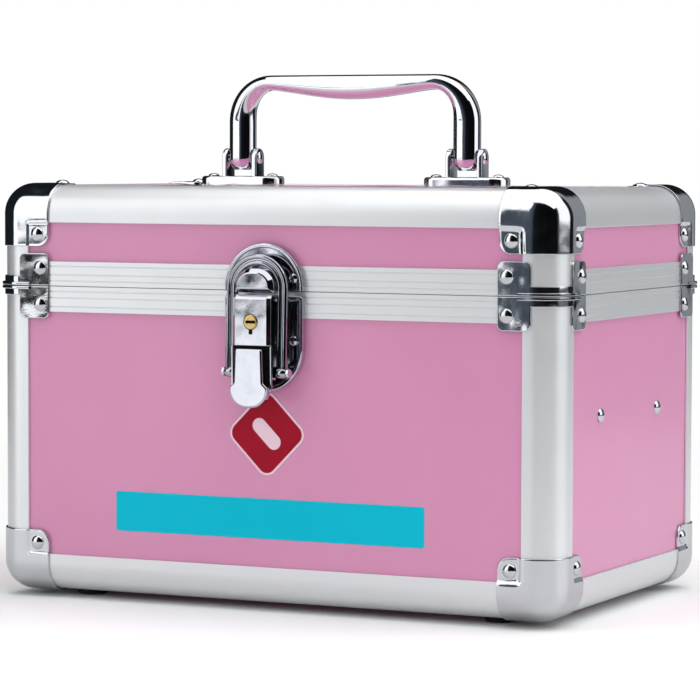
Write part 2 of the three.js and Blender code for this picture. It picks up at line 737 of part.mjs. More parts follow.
const housingStandoff = 13.7;
const housingBevel = 1.3;
const housingLow = -21.3;
const leverTop = -1.2;
const leverTopCut = 1.95; // bevel along the top edge, back from the face
const leverTopBack = -2.1; // back of the top edge
const cheekStandoff = 3;
const cheekWide = -16.9; // the cheeks reach full depth below this height
const cheekShoulder = -4.7;
const cheekShoulderStandoff = 4.2;
const leverEye = 2.9; // pin hole to the edge of the cheek
const eyeCornerShare = 0.6; // the cheek's lower corners, as shares of that distance
const eyeTipShare = 1.2;
const eyeRootShare = 2;
const webStandoff = 12.9;
const webLow = -34.5;
const barrelRadius = 3;
const barrelStemRadius = 2.1;
const barrelStepStandoff = 10.8;
const barrelProud = 0.25;
const sleeveWall = 1.1;
const keyNotchWidth = 1.7;
const keyNotchDrop = 5;
const tabTop = -22.8;
const tabThickness = 2.7;
const tabFace = 16;
const tabHalfWidth = 6;
const tabFlare = 8.35;
const tabFlareShare = 0.9; // start of the flare, as a share of its radius
const tabFlareQuarter = 0.15; // the round runs this much past its half circle, in quarter turns
const tabRoundCentre = -38;

function leverSolid() {
  const { s: ps, h: ph } = leverPivot;
  const { s: ls, h: lh } = loopPivot;
  const eye = leverEye;
  const side = sideView([
    [cheekStandoff, cheekWide], [cheekShoulderStandoff, cheekShoulder], [ps - eye, leverTopBack],
    [housingStandoff - leverTopCut, leverTop], [housingStandoff, leverTop - housingBevel],
    [housingStandoff, housingLow], [webStandoff, housingLow - (housingStandoff - webStandoff)],
    [webStandoff, webLow], [ls + eye, lh - eyeCornerShare * eye], [ls, lh - eyeTipShare * eye],
    [ls - eye, lh - eyeCornerShare * eye], [cheekStandoff, lh + eyeRootShare * eye],
  ]);
  const body = prism('x', side, -leverHalfWidth, leverHalfWidth);
  const w = leverHalfWidth;
  const f = housingStandoff;
  const section = [[-w, out(0)], [-w, out(f - housingBevel)], [-w + housingBevel, out(f)],
    [w - housingBevel, out(f)], [w, out(f - housingBevel)], [w, out(0)]];
  const bevelled = common(body, prism('z', section, up(-latchFar), up(0)));
  const inside = leverHalfWidth - leverSheet;
  const hollow = (from, to, deep) => block([-inside, out(deep), up(from)], [inside, out(0), up(to)]);
  const sleeveStart = barrelStepStandoff - swingGap / 2;
  const along = (radius, from, to) => prism('y', circle(0, up(barrelHeight), radius), out(to), out(from));
  const sleeve = along(barrelRadius + loosePlay + sleeveWall, sleeveStart, housingStandoff - leverSheet / 2);
  const bore = along(barrelRadius + loosePlay, 0, housingStandoff + overrun);
  const notchTop = barrelHeight - barrelRadius;
  const notch = block([-keyNotchWidth / 2, out(housingStandoff + overrun), up(barrelHeight - keyNotchDrop)],
    [keyNotchWidth / 2, out(housingStandoff - 2 * leverSheet), up(notchTop + leverSheet / 2)]);
  const holes = [[ps, ph, leverPinRadius], [ls, lh, loopPinRadius]].map(([s, h, r]) =>
    prism('x', circle(out(s), up(h), r + pinPlay), -latchFar, latchFar));
  const flareTop = tabRoundCentre + tabFlareShare * tabFlare;
  const tabOutline = [
    [tabHalfWidth, up(tabTop)], [-tabHalfWidth, up(tabTop)], [-tabHalfWidth, up(flareTop)],
    ...arc(0, up(tabRoundCentre), tabFlare, 2 - tabFlareQuarter, 4 + tabFlareQuarter, 2 * arcSteps),
    [tabHalfWidth, up(flareTop)],
  ];
  const tab = prism('y', tabOutline, out(tabFace), out(tabFace - tabThickness));
  const weld = block([-tabHalfWidth, out(tabFace - tabThickness / 2), up(webLow)],
    [tabHalfWidth, out(webStandoff - leverSheet), up(tabTop)]);
  const channel = cut(bevelled, hollow(housingLow, 0, housingStandoff - leverSheet),
    hollow(-latchFar, housingLow + leverSheet, webStandoff - leverSheet));
  return cut(join(channel, sleeve, tab, weld), bore, notch, ...holes);
}

add('latch_lever', leverSolid(), chromedSteel);

// Key barrel: a brass plug with a key slot; its cam points down when unlocked.

const keySlotLength = 4.4;
const keySlotWidth = 1.1;
const keySlotDepth = 1.4;

function keyBarrel() {
  const z = up(barrelHeight);
  const along = (radius, from, to) => prism('y', circle(0, z, radius), out(to), out(from));
  const face = housingStandoff + barrelProud;
  const head = along(barrelRadius, barrelStepStandoff, face);
  const stem = along(barrelStemRadius, camStandoff + camSheet / 2, barrelStepStandoff + camSheet);
  const cam = block([-camWidth / 2, out(camStandoff + camSheet), z - camReach],
    [camWidth / 2, out(camStandoff), z + camWidth / 2]);
  const slot = block([-keySlotLength / 2, out(face + overrun), z - keySlotWidth / 2],
    [keySlotLength / 2, out(face - keySlotDepth), z + keySlotWidth / 2]);
  return cut(join(head, stem, cam), slot);
}

add('key_barrel', keyBarrel(), brass);

// Loop: a pressed ring that hooks over the keeper and turns on a pin through the lever's cheeks.
// Drawn upright about its pin, then leaned in so that its crown lies behind the hook's head.

const loopOuter = 13.7;
const loopInner = 9.2;
const loopThickness = 3;
const loopGrooveShare = 0.36; // width of the pressed groove, as a share of the ring's width
const loopGrooveDepth = 0.8;
const loopEyeRadius = 2.7;
const loopPinHeadRadius = 1.9;
const crownStandoff = 7.1;
const pinEnd = 15.2;

function loopRing() {
  const rise = hookCentre - loopPivot.h;
  const archOutline = (r, foot) => [[-r, foot], [r, foot], ...arc(0, rise, r, 0, 2, 4 * arcSteps)];
  const t = loopThickness / 2;
  const ring = cut(prism('y', archOutline(loopOuter, 0), -t, t),
    prism('y', archOutline(loopInner, -overrun), -t - overrun, t + overrun));
  const middle = (loopOuter + loopInner) / 2;
  const halfGroove = ((loopOuter - loopInner) * loopGrooveShare) / 2;
  const groove = cut(
    prism('y', archOutline(middle + halfGroove, 2 * loopEyeRadius), -t - overrun, -t + loopGrooveDepth),
    prism('y', archOutline(middle - halfGroove, 0), -t - 2 * overrun, t));
  const eye = prism('x', circle(0, 0, loopEyeRadius), -loopOuter, loopOuter);
  const between = block([-loopInner, -latchFar, -latchFar], [loopInner, latchFar, loopEyeRadius + overrun]);
  const hole = prism('x', circle(0, 0, loopPinRadius + loosePlay), -latchFar, latchFar);
  return cut(join(cut(ring, groove), eye), between, hole);
}

const crownRise = hookCentre + loopInner - loopPivot.h;
const loopLean = Math.atan((loopPivot.s - crownStandoff) / crownRise);
const loop = add('latch_loop', loopRing(), chromedSteel);
loop.position.set(0, out(loopPivot.s), up(loopPivot.h));
loop.rotation.set(-loopLean, 0, 0);

function loopPin() {
  const y = out(loopPivot.s);
  const z = up(loopPivot.h);
  const shoulder = loopOuter + swingGap;
  const rod = prism('x', circle(y, z, loopPinRadius), -pinEnd, pinEnd);
  const heads = [[-pinEnd, -shoulder], [shoulder, pinEnd]].map(([from, to]) =>
    prism('x', circle(y, z, loopPinHeadRadius), from, to));
  return join(rod, ...heads);
}

add('latch_loop_pin', loopPin(), chromedSteel);

// Hinges on the back: two leaves, three knuckles and a pin each.

const hingeWidth = 44;
const hingeClearance = 13.5; // rim bracket to the edge of a leaf
const hingeSpread = xOut - padTo - hingeClearance - hingeWidth / 2;
const hingeHeight = 23;
const hingeSheet = 1.5;
const hingeAxisStandoff = 4.3;
const knuckleRadius = 3.2;
const hingePinRadius = 1.4;
const hingePinHeadRadius = 2.2;
const hingePinHead = 0.8;
const hingeCornerRadius = 4;
const hingeRivetInset = 9;
const hingeRivetHeight = 14;
const hingeRivetRadius = 2.4;
const hingeRivetDome = 1.2;

const hingeY = yOut + hingeAxisStandoff;
const knuckleLength = hingeWidth / 3;

function hingeLeaf(cx, isLid) {
  const sign = isLid ? 1 : -1;
  const z = (h) => zSplit + sign * h;
  const face = yOut + seatGap;
  const w = hingeWidth / 2;
  const zs = [z(splitGap), z(hingeHeight)];
  const radii = isLid ? [0, 0, hingeCornerRadius, hingeCornerRadius] : [hingeCornerRadius, hingeCornerRadius, 0, 0];
  const outline = roundedOutline([cx - w, Math.min(...zs)], [cx + w, Math.max(...zs)], radii, smallArcSteps);
  const plate = prism('y', outline, face, face + hingeSheet);
  const third = knuckleLength / 2;
  const middle = [[-third + slideGap, third - slideGap]];
  const ends = [[-w, -third - slideGap], [third + slideGap, w]];
  const own = isLid ? middle : ends;
  const other = isLid ? [[-w - overrun, -third], [third, w + overrun]] : [[-third, third]];
  const knuckle = (radius) => ([from, to]) => prism('x', circle(hingeY, zSplit, radius), cx + from, cx + to);
  const notched = cut(plate, ...other.map(knuckle(knuckleRadius + swingGap)));
  const bore = knuckle(hingePinRadius + pinPlay)([-w - overrun, w + overrun]);
  const heads = [-1, 1].map((side) => {
    const centre = [cx + side * (w - hingeRivetInset), face + hingeSheet, z(hingeRivetHeight)];
    return rivetHead(centre, [0, 1, 0], hingeRivetRadius, hingeRivetDome);
  });
  return join(cut(join(notched, ...own.map(knuckle(knuckleRadius))), bore), ...heads);
}

function hingePin(cx) {
  const w = hingeWidth / 2 + seatGap;
  const end = w + hingePinHead;
  const rod = prism('x', circle(hingeY, zSplit, hingePinRadius), cx - end, cx + end);
  const heads = [[-end, -w], [w, end]].map(([from, to]) =>
    prism('x', circle(hingeY, zSplit, hingePinHeadRadius), cx + from, cx + to));
  return join(rod, ...heads);
}

for (const [side, sign] of [['left', -1], ['right', 1]]) {
  add(`hinge_base_leaf_${side}`, hingeLeaf(sign * hingeSpread, false), chromedSteel);
  add(`hinge_lid_leaf_${side}`, hingeLeaf(sign * hingeSpread, true), chromedSteel);
  add(`hinge_pin_${side}`, hingePin(sign * hingeSpread), chromedSteel);
}

// Tray: one moulding with five pockets, lifted out by its raised ends.

const trayHeight = 34;
const trayPlay = 1.4; // tray to the inside of the frame
const trayWall = 2;
const trayFloor = 2;
const trayCornerRadius = 7;
const pocketCornerRadius = 4;
const trayFrontRowShare = 0.42; // front row of pockets, as a share of the inside depth
const trayFrontPockets = 2;
const trayBackPockets = 3;

function tray() {
  const x = xOut - frameDepth - trayPlay;
  const y = yOut - frameDepth - trayPlay;
  const zFrom = railTop + seatGap;
  const zTo = zFrom + trayHeight;
  const rim = roundedOutline([-x, -y], [x, y], Array(4).fill(trayCornerRadius), smallArcSteps);
  const body = prism('z', rim, zFrom, zTo);
  const innerDepth = 2 * y - 2 * trayWall;
  const frontTo = -y + trayWall + (innerDepth - trayWall) * trayFrontRowShare;
  const rows = [
    { from: -y + trayWall, to: frontTo, count: trayFrontPockets },
    { from: frontTo + trayWall, to: y - trayWall, count: trayBackPockets },
  ];
  const pockets = rows.flatMap(({ from, to, count }) => {
    const width = (2 * x - trayWall * (count + 1)) / count;
    return Array.from({ length: count }, (_, i) => {
      const left = -x + trayWall + i * (width + trayWall);
      const radii = Array(4).fill(pocketCornerRadius);
      const outline = roundedOutline([left, from], [left + width, to], radii, smallArcSteps);
      return prism('z', outline, zFrom + trayFloor, zTo + overrun);
    });
  });
  return cut(body, ...pockets);
}

add('tray', tray(), whitePlastic);

// The latch stands out in front and the hinges at the back, so the case is shifted to put the
// middle of the whole outline over the origin.
const frontReach = tabFace;
const backReach = hingeAxisStandoff + knuckleRadius;
medicineCase.position.y = (frontReach - backReach) / 2;

const root = new THREE.Group();
root.add(medicineCase);
export default root;
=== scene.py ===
import bpy
import numpy as np
from mathutils import Matrix, Vector
from mathutils.geometry import tessellate_polygon


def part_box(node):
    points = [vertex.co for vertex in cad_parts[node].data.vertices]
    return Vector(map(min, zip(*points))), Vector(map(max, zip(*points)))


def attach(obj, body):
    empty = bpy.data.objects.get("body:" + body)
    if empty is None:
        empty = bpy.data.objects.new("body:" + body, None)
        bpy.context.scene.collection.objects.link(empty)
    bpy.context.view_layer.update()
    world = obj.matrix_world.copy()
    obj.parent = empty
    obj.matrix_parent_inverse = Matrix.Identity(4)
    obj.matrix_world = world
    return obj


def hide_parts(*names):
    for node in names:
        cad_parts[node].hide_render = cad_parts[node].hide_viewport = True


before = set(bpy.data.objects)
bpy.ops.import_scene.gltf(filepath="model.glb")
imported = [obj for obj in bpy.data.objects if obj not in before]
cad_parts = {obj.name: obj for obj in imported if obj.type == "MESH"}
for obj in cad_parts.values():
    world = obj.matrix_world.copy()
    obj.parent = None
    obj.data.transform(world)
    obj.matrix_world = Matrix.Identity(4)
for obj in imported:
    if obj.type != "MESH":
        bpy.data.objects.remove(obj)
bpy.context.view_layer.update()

# Frame extrusions
# Quarter-round aluminium extrusions on every outer edge, mitred at the corners, with slots that
# hold the panels. Drawn through a die, then satin anodised: soft gloss with faint die lines.


def measured(node):
    """The lowest and highest corners of a solid in millimetres."""
    return [1000 * np.array(corner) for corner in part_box(node)]


(left, front, bottom), (right, back, base_edge) = measured("base_frame")
(_, _, lid_edge), (_, _, top) = measured("lid_frame")
middle_y = (front + back) / 2
split = (base_edge + lid_edge) / 2

# The outer planes with the way inwards, and the bars that run along them. Each half has a body, a
# closed face, a shut edge, and a way from the one to the other.
left_and_right = {"left": (left, 1), "right": (right, -1)}
front_and_back = {"front": (front, 1), "back": (back, -1)}
bars = [(side, "x", left, right, *plane) for side, plane in front_and_back.items()]
bars += [(side, "y", front, back, *plane) for side, plane in left_and_right.items()]
halves = {"base": ("case", bottom, base_edge, 1), "lid": ("lid", top, lid_edge, -1)}

edge_radius = 12.0
flange = 15.6
skin = 0.9
slot_reach, slot_end = 9.0, 5.1
frame_depth = 6.1
lining_face = 5.6
lip_edge, die_edge = 0.3, 0.12
grain_step = 7.3


def linear(code):
    """An sRGB hex colour as linear RGBA: the sRGB curve undone on each channel."""
    c = np.array([int(code[i:i + 2], 16) for i in (1, 3, 5)]) / 255
    c = np.where(c <= 0.04045, c / 12.92, ((c + 0.055) / 1.055) ** 2.4)
    return (*c, 1.0)


def feed(node, *sources, **named):
    """Gives a node's sockets, in order or by name (_ for a space), a value, or a link from an output
    or another node's first output."""
    for key, source in [*enumerate(sources), *named.items()]:
        socket = node.inputs[key.replace("_", " ") if isinstance(key, str) else key]
        if isinstance(source, bpy.types.Node):
            source = source.outputs[0]
        if isinstance(source, bpy.types.NodeSocket):
            node.id_data.links.new(source, socket)
        else:
            socket.default_value = source


def add(tree, kind, *sources, **settings):
    """Adds one node. Sources feed its sockets in order, settings are attributes or sockets."""
    made = tree.nodes.new("ShaderNode" + kind)
    for name in [name for name in settings if hasattr(made, name)]:
        setattr(made, name, settings.pop(name))
    feed(made, *sources, **settings)
    return made


def new_material(name, code, metallic, roughness, **settings):
    """A material with one Principled shader: its tree, the shader and Object coordinates."""
    material = bpy.data.materials.new(name)
    material.use_nodes = True
    material.diffuse_color = linear(code)
    tree = material.node_tree
    shader = tree.nodes["Principled BSDF"]
    feed(shader, Base_Color=linear(code), Metallic=metallic, Roughness=roughness, **settings)
    return material, tree, shader, add(tree, "TexCoord").outputs["Object"]


def at(x, y, z):
    """Points from their coordinates, any of which may be one number for all."""
    return np.stack(np.broadcast_arrays(x, y, z), -1).astype(float)


def box(x0, y0, x1, y1):
    """The four corners of a rectangle."""
    return [(x0, y0), (x1, y0), (x1, y1), (x0, y1)]


def fillet(corners, radii, steps=4, inset=0.0):
    """Rounds each corner of a flat outline with the arc of its radius that touches both sides:
    centre on the bisector at radius over the sine of the half angle, then equal steps of turn.
    With an inset the outline first goes inwards, each corner along its bisector, and its radius
    gets smaller by the inset, or larger where the corner is hollow."""
    p = np.asarray(corners, float)
    a = np.roll(p, 1, 0) - p
    b = np.roll(p, -1, 0) - p
    a /= np.linalg.norm(a, axis=1, keepdims=True)
    b /= np.linalg.norm(b, axis=1, keepdims=True)
    half = np.arccos(np.clip((a * b).sum(1), -1, 1)) / 2
    bisector = (a + b) / np.linalg.norm(a + b, axis=1, keepdims=True)
    way = np.cross(at(*p.T, 0), at(*np.roll(p, -1, 0).T, 0))[:, 2].sum()
    inset = inset * np.where(way * (b[:, 0] * a[:, 1] - b[:, 1] * a[:, 0]) < 0, -1, 1)
    p = p + bisector * (inset / np.sin(half))[:, None]
    r = np.maximum(radii - inset, 0.03)
    centre = p + bisector * (r / np.sin(half))[:, None]
    reach = (r / np.tan(half))[:, None]
    start, end = p + a * reach - centre, p + b * reach - centre
    first = np.arctan2(start[:, 1], start[:, 0])
    turn = (np.arctan2(end[:, 1], end[:, 0]) - first + np.pi) % (2 * np.pi) - np.pi
    angle = first[:, None] + turn[:, None] * np.linspace(0, 1, steps + 1)
    arc = np.stack([np.cos(angle), np.sin(angle)], -1) * r[:, None, None]
    return (centre[:, None] + arc).reshape(-1, 2)


def end_faces(ring, places):
    """Triangles that fill a flat ring, hollows left open, each turned to run round as the ring
    does: the sign of its normal times the ring's, which is the sum of p[i] x p[i + 1]."""
    triangles = np.array(tessellate_polygon([[Vector(p) for p in ring]]))
    a, b, c = (ring[triangles[:, k]] for k in range(3))
    against = np.cross(b - a, c - a) @ np.cross(ring, np.roll(ring, -1, 0)).sum(0) < 0
    triangles[against] = triangles[against, ::-1]
    return places[triangles]


def skin_of(rings, closed_ends=(True, True), inside=None):
    """Points, quads, triangles and grain of the skin between rows of points. Rows run round, and
    each end may be filled; with a point inside they make an open sheet. Turned outwards by the
    sign of the volume, or away from the middle or from the point inside."""
    rings = np.asarray(rings, float)
    rows, columns, _ = rings.shape
    index = np.arange(rows * columns).reshape(rows, columns)
    here, after = index, np.roll(index, -1, 1)
    if inside is not None:
        here, after = here[:, :-1], after[:, :-1]
    quads = np.stack([here[:-1], after[:-1], after[1:], here[1:]], -1).reshape(-1, 4)
    points = rings.reshape(-1, 3)
    ends = [end_faces(rings[row], index[row])[:, ::order]
            for row, order in ((0, -1), (-1, 1)) if closed_ends[row]]
    triangles = np.concatenate([np.zeros((0, 3), int), *ends])
    every = np.concatenate([quads[:, :3], quads[:, [0, 2, 3]], triangles])
    a, b, c = (points[every[:, k]] for k in range(3))
    away = (a + b + c) / 3 - (points.mean(0) if inside is None else inside)
    if (np.cross(b - a, c - a) * (a if all(closed_ends) else away)).sum() < 0:
        quads, triangles = quads[:, ::-1], triangles[:, ::-1]
    run = np.linalg.norm(np.diff(rings[0], axis=0, prepend=rings[0][:1]), axis=1)
    rise = np.linalg.norm(np.diff(rings.mean(1), axis=0), axis=1)
    along = np.concatenate([[0], np.cumsum(rise)])
    return points, quads, triangles, at(np.tile(np.cumsum(run), rows), np.repeat(along, columns), 0)


def corner_normals(places, corner_face, corner_place, face_normal, crease=50):
    """The normal at each corner of each face: the sum, weighted by area, of the faces that meet
    there within the crease angle of its own. Flats stay flat, roundings run on, edges are crisp."""
    same = np.unique(np.round(places, 3), axis=0, return_inverse=True)[1].ravel()[corner_place]
    order = np.argsort(same, kind="stable")
    _, starts, counts = np.unique(same[order], return_index=True, return_counts=True)
    size = np.repeat(counts, counts)
    mine = np.repeat(np.arange(len(order)), size)
    ahead = np.arange(size.sum()) - np.repeat(np.cumsum(size) - size, size)
    other = np.repeat(np.repeat(starts, counts), size) + ahead
    face = corner_face[order]
    unit = face_normal / np.maximum(np.linalg.norm(face_normal, axis=1, keepdims=True), 1e-12)
    close = (unit[face[mine]] * unit[face[other]]).sum(1) > np.cos(np.radians(crease))
    area = face_normal[face[other]] * close[:, None]
    normals = np.zeros((len(order), 3))
    normals[order] = np.stack([np.bincount(mine, area[:, k], len(order)) for k in range(3)], -1)
    return normals / np.maximum(np.linalg.norm(normals, axis=1, keepdims=True), 1e-12)


def build(name, parts, material, body=None, node=None):
    """Joins skins (millimetres) into one smooth shaded piece in metres. The grain starts further
    on in each, so that no two bars show the same lines."""
    starts = np.cumsum([0] + [len(p[0]) for p in parts])
    points = np.concatenate([p[0] for p in parts])
    quads, triangles = (np.concatenate([p[k] + s for p, s in zip(parts, starts)]) for k in (1, 2))
    grain = np.concatenate([p[3] + [grain_step * i, 0, 0] for i, p in enumerate(parts)])
    loops = np.concatenate([quads.ravel(), triangles.ravel()]).astype(np.int32)
    sizes = np.repeat([4, 3], [len(quads), len(triangles)])
    mesh = bpy.data.meshes.new(name)
    mesh.vertices.add(len(points))
    mesh.vertices.foreach_set("co", (points / 1000).astype(np.float32).ravel())
    mesh.loops.add(len(loops))
    mesh.loops.foreach_set("vertex_index", loops)
    mesh.polygons.add(len(sizes))
    mesh.polygons.foreach_set("loop_start", (np.cumsum(sizes) - sizes).astype(np.int32))
    mesh.polygons.foreach_set("use_smooth", np.ones(len(sizes), bool))
    mesh.update(calc_edges=True)
    store = mesh.attributes.new("grain", "FLOAT_VECTOR", "POINT")
    store.data.foreach_set("vector", (grain / 1000).astype(np.float32).ravel())
    corner = [points[faces] for faces in (quads, triangles)]
    face_normal = np.concatenate([np.cross(c[:, 2] - c[:, 0], c[:, -1] - c[:, 1]) for c in corner])
    corner_face = np.repeat(np.arange(len(sizes)), sizes)
    mesh.normals_split_custom_set(corner_normals(points, corner_face, loops, face_normal))
    mesh.materials.append(material)
    piece = bpy.data.objects.new(name, mesh)
    bpy.context.scene.collection.objects.link(piece)
    if body:
        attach(piece, body)
    if node:
        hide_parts(node)
    return piece


def extruded(outline, axis, start, end, corner, signs):
    """An outline (u, v) of distances inwards from two outer planes, carried straight along an
    axis: each coordinate is its plane plus its sign times the distance."""
    u = corner[0] + signs[0] * outline[:, 0]
    v = corner[1] + signs[1] * outline[:, 1]
    return skin_of([at(*{"x": (w, u, v), "y": (u, w, v), "z": (u, v, w)}[axis])
                    for w in (start, end)])


frame_outline = fillet(
    [(flange, 0), (0, 0), (0, flange), (skin, flange), (skin, slot_reach), (slot_end, slot_reach),
     (slot_end, flange), (frame_depth, flange), (frame_depth, frame_depth), (flange, frame_depth),
     (flange, slot_end), (slot_reach, slot_end), (slot_reach, skin), (flange, skin)],
    [lip_edge, edge_radius, lip_edge] + [die_edge] * 11, steps=10)
corner_lining = fillet(
    [(lining_face, lining_face), (edge_radius, lining_face), (edge_radius, frame_depth),
     (frame_depth, frame_depth), (frame_depth, edge_radius), (lining_face, edge_radius)], 0.05, 1)
corner_plate = fillet(box(lining_face, lining_face, edge_radius, edge_radius), 0.05, 1)


def frame_half(low, high, closed, inwards):
    """Posts from low to high, four bars on the closed side and a lining behind each corner."""
    parts = []
    deep, thin = (sorted(closed + inwards * reach for reach in (lining_face, end))
                  for end in (edge_radius, frame_depth))
    for x, sx in left_and_right.values():
        for y, sy in front_and_back.values():
            for outline, ends in ((frame_outline, (low, high)), (corner_lining, deep), (corner_plate, thin)):
                parts.append(extruded(outline, "z", *ends, (x, y), (sx, sy)))
    for _, axis, start, end, plane, sign in bars:
        parts.append(extruded(frame_outline, axis, start + edge_radius, end - edge_radius,
                              (plane, closed), (sign, inwards)))
    return parts


# Anodised aluminium: pale grey metal with a soft gloss. The die leaves lines along the bar about
# 0.2 mm apart, drawn here at 0.5 mm, and the anodising mottles very slightly.
satin, tree, shader, place = new_material("anodised_aluminium", "#EDEFF1", 0.68, 0.34)
grain = add(tree, "Attribute", attribute_name="grain").outputs["Vector"]
lines = add(tree, "Mapping", grain, Scale=(2000, 12, 1))
drawn = add(tree, "TexNoise", lines, Scale=1.0, Detail=3.0)
mottle = add(tree, "TexNoise", place, Scale=90.0, Detail=4.0)
mix = add(tree, "Math", drawn, mottle, operation="ADD")
gloss = add(tree, "MapRange", mix, From_Min=0.6, From_Max=1.4, To_Min=0.3, To_Max=0.4)
relief = add(tree, "Bump", Height=drawn, Strength=0.25, Distance=0.00002)
feed(shader, Roughness=gloss, Normal=relief)

for half, (body, closed, shut, way) in halves.items():
    post = sorted((closed + way * edge_radius, shut))
    build(f"{half}_frame_extrusions", frame_half(*post, closed, way), satin, body, f"{half}_frame")

# Rims
# Straight extrusions along the shut line between the corner posts, with three fine grooves on the
# outside. The base rims carry a tongue that enters a groove in the lid rims.

rim_heights = {"base": 10.6, "lid": 10.1}
rim_web = 3.85
rim_start = flange + 0.15
groove_shares = (0.2, 0.45, 0.8)
groove_width, groove_depth = 0.5, 0.35
tongue = (2.8, 4.0)
tongue_height, tongue_play, tongue_clearance = 2.0, 0.5, 0.2


def rim_outline(height, is_lid):
    """Section of a rim: distance inwards from the outer plane, and away from the shut line."""
    w = groove_width / 2
    grooves = [(u, height * s + h) for s in groove_shares
               for u, h in ((0, -w), (groove_depth, -w / 2), (groove_depth, w / 2), (0, w))]
    play = tongue_play if is_lid else 0
    near, far = tongue[0] - play, tongue[1] + play
    reach = tongue_height + tongue_clearance if is_lid else -tongue_height
    corners = [(0, 0), *grooves, (0, height), (skin, height), (skin, rim_web),
               (slot_end, rim_web), (slot_end, height - 1), (frame_depth, height - 1),
               (frame_depth, 0), (far, 0), (far, reach), (near, reach), (near, 0)]
    return fillet(corners, 0.08, 2)


for half, (body, closed, shut, way) in halves.items():
    outline = rim_outline(rim_heights[half], half == "lid")
    for side, axis, start, end, plane, inwards in bars:
        rim = extruded(outline, axis, start + rim_start, end - rim_start, (plane, shut), (inwards, -way))
        build(f"{half}_{side}_rim_extrusion", [rim], satin, body, f"{half}_rim_{side}")

# Panels
# Board faced with glossy pink laminate, tucked into the slots of the extrusions. The solids are
# plain boards and stay as they are.

# Melamine laminate: an even pink under a clear hard film. The film ripples by a few microns over
# about 6 mm, which softens reflections, and the print varies by a percent or two.
laminate, tree, shader, place = new_material("pink_melamine_laminate", "#D089AF", 0.0, 0.3, IOR=1.5,
                                             Coat_Weight=0.35, Coat_Roughness=0.12)
cloud = add(tree, "TexNoise", place, Scale=25.0, Detail=3.0)
tint = add(tree, "MixRGB", cloud, linear("#CD85AC"), linear("#D38DB2"))
ripple = add(tree, "TexNoise", place, Scale=160.0, Detail=2.0)
relief = add(tree, "Bump", Height=ripple, Strength=0.12, Distance=0.0002)
feed(shader, Base_Color=tint, Normal=relief)

for name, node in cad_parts.items():
    if name.endswith("_panel"):
        for slot in node.material_slots:
            slot.material = laminate

# Tray rails
# Aluminium angles inside the two sides. Each is held by two domed chromed rivets that pass through
# the panel and show on the outside.

panel_face, panel_back = 1.0, 5.0
seat_gap = 0.05
(_, rail_from, _), (_, rail_to, rail_top) = measured("tray_rail_right")
rail_leg, rail_sheet = 9.0, 1.5
rail_rivets = [(rail_from + 27.0, rail_top - 3.5), (rail_to - 24.5, rail_top - 4.5)]
rivet_radius = 3.0
rail_rivet_height = 1.5


def circle(count):
    """Cosines and sines of equal steps round a circle."""
    turn = np.linspace(0, 2 * np.pi, count, endpoint=False)
    return np.cos(turn), np.sin(turn)


def turned(profile, centre, outward, sides=36, closed_ends=(True, True)):
    """A profile (radius, height) spun about an axis: radius times cosine and sine in the plane
    across the axis, height along it."""
    axis = np.array(Vector(outward).normalized())
    e1 = np.cross([0, 0, 1.0] if abs(axis[2]) < 0.9 else [1.0, 0, 0], axis)
    e1 /= np.linalg.norm(e1)
    c, s = circle(sides)
    rim = c[:, None] * e1 + s[:, None] * np.cross(axis, e1)
    radius, height = np.asarray(profile, float).T[:, :, None, None]
    return skin_of(np.asarray(centre, float) + radius * rim + height * axis, closed_ends)


def rivet(centre, outward, radius, height):
    """A domed head: an ellipse's quarter, from a short straight foot up to the crown."""
    t = np.linspace(0, np.pi / 2, 9)[:-1]
    dome = np.stack([radius * np.cos(t), height * np.sin(t)], -1)
    return turned([(radius, -0.35), *dome, (radius * 0.08, height)], centre, outward)


def plating(name, code, haze, dent, peel):
    """Chrome over steel. The sheet is wavy by the dent (metres, over 8 to 12 mm) with an orange
    peel of the given height drawn at 0.8 mm, and a haze of tiny scratches varies its roughness."""
    material, tree, shader, place = new_material(name, code, 1.0, haze[0])
    scratches = add(tree, "TexNoise", place, Scale=220.0, Detail=5.0)
    gloss = add(tree, "MapRange", scratches, From_Min=0.35, From_Max=0.7, To_Min=haze[0], To_Max=haze[1])
    waves = add(tree, "TexNoise", place, Scale=100.0, Detail=1.0)
    relief = add(tree, "Bump", Height=waves, Strength=1.0, Distance=dent)
    grit = add(tree, "TexNoise", place, Scale=1300.0, Detail=2.0)
    finish = add(tree, "Bump", Height=grit, Normal=relief, Strength=1.0, Distance=peel)
    feed(shader, Roughness=gloss, Normal=finish)
    return material


# Bright chrome for turned and cast pieces: a clean mirror that gives back most of the light.
chrome = plating("chromed_steel", "#DEE0E4", (0.04, 0.1), 0.00005, 0.000001)

wall = panel_back + seat_gap
angle = fillet([(wall, 0), (wall, rail_leg), (wall + rail_sheet, rail_leg), (wall + rail_sheet, rail_sheet),
                (wall + rail_leg, rail_sheet), (wall + rail_leg, 0)], 0.4, 4)
for side, (plane, inwards) in left_and_right.items():
    rail = extruded(angle, "y", rail_from, rail_to, (plane, rail_top), (inwards, -1))
    build(f"{side}_tray_rail_angle", [rail], satin, "case", f"tray_rail_{side}")
    x = plane + inwards * (panel_face - seat_gap)
    heads = [rivet((x, y, z), (-inwards, 0, 0), rivet_radius, rail_rivet_height) for y, z in rail_rivets]
    build(f"{side}_tray_rail_rivets", heads, chrome, "case")

# Corner caps
# Steel sheet pressed over the ends of three extrusions, polished and chromed. A lobe on each face
# steps down onto the panel, less so on the left side, and is held by a domed rivet.

cap_reach = 25.6
cap_rivet_inset = 20.3
lobe_radius, lobe_start = 5.0, 15.75
cap_sheet = 0.75
wrap_gap = 0.1
proud = wrap_gap + cap_sheet
panel_drop = 0.8
lobe_drop = {"left": 0.2, "right": panel_drop}
step_width = 2.4
cap_edge_roll = 0.3
rivet_seat = 0.15
rivet_height = 1.7

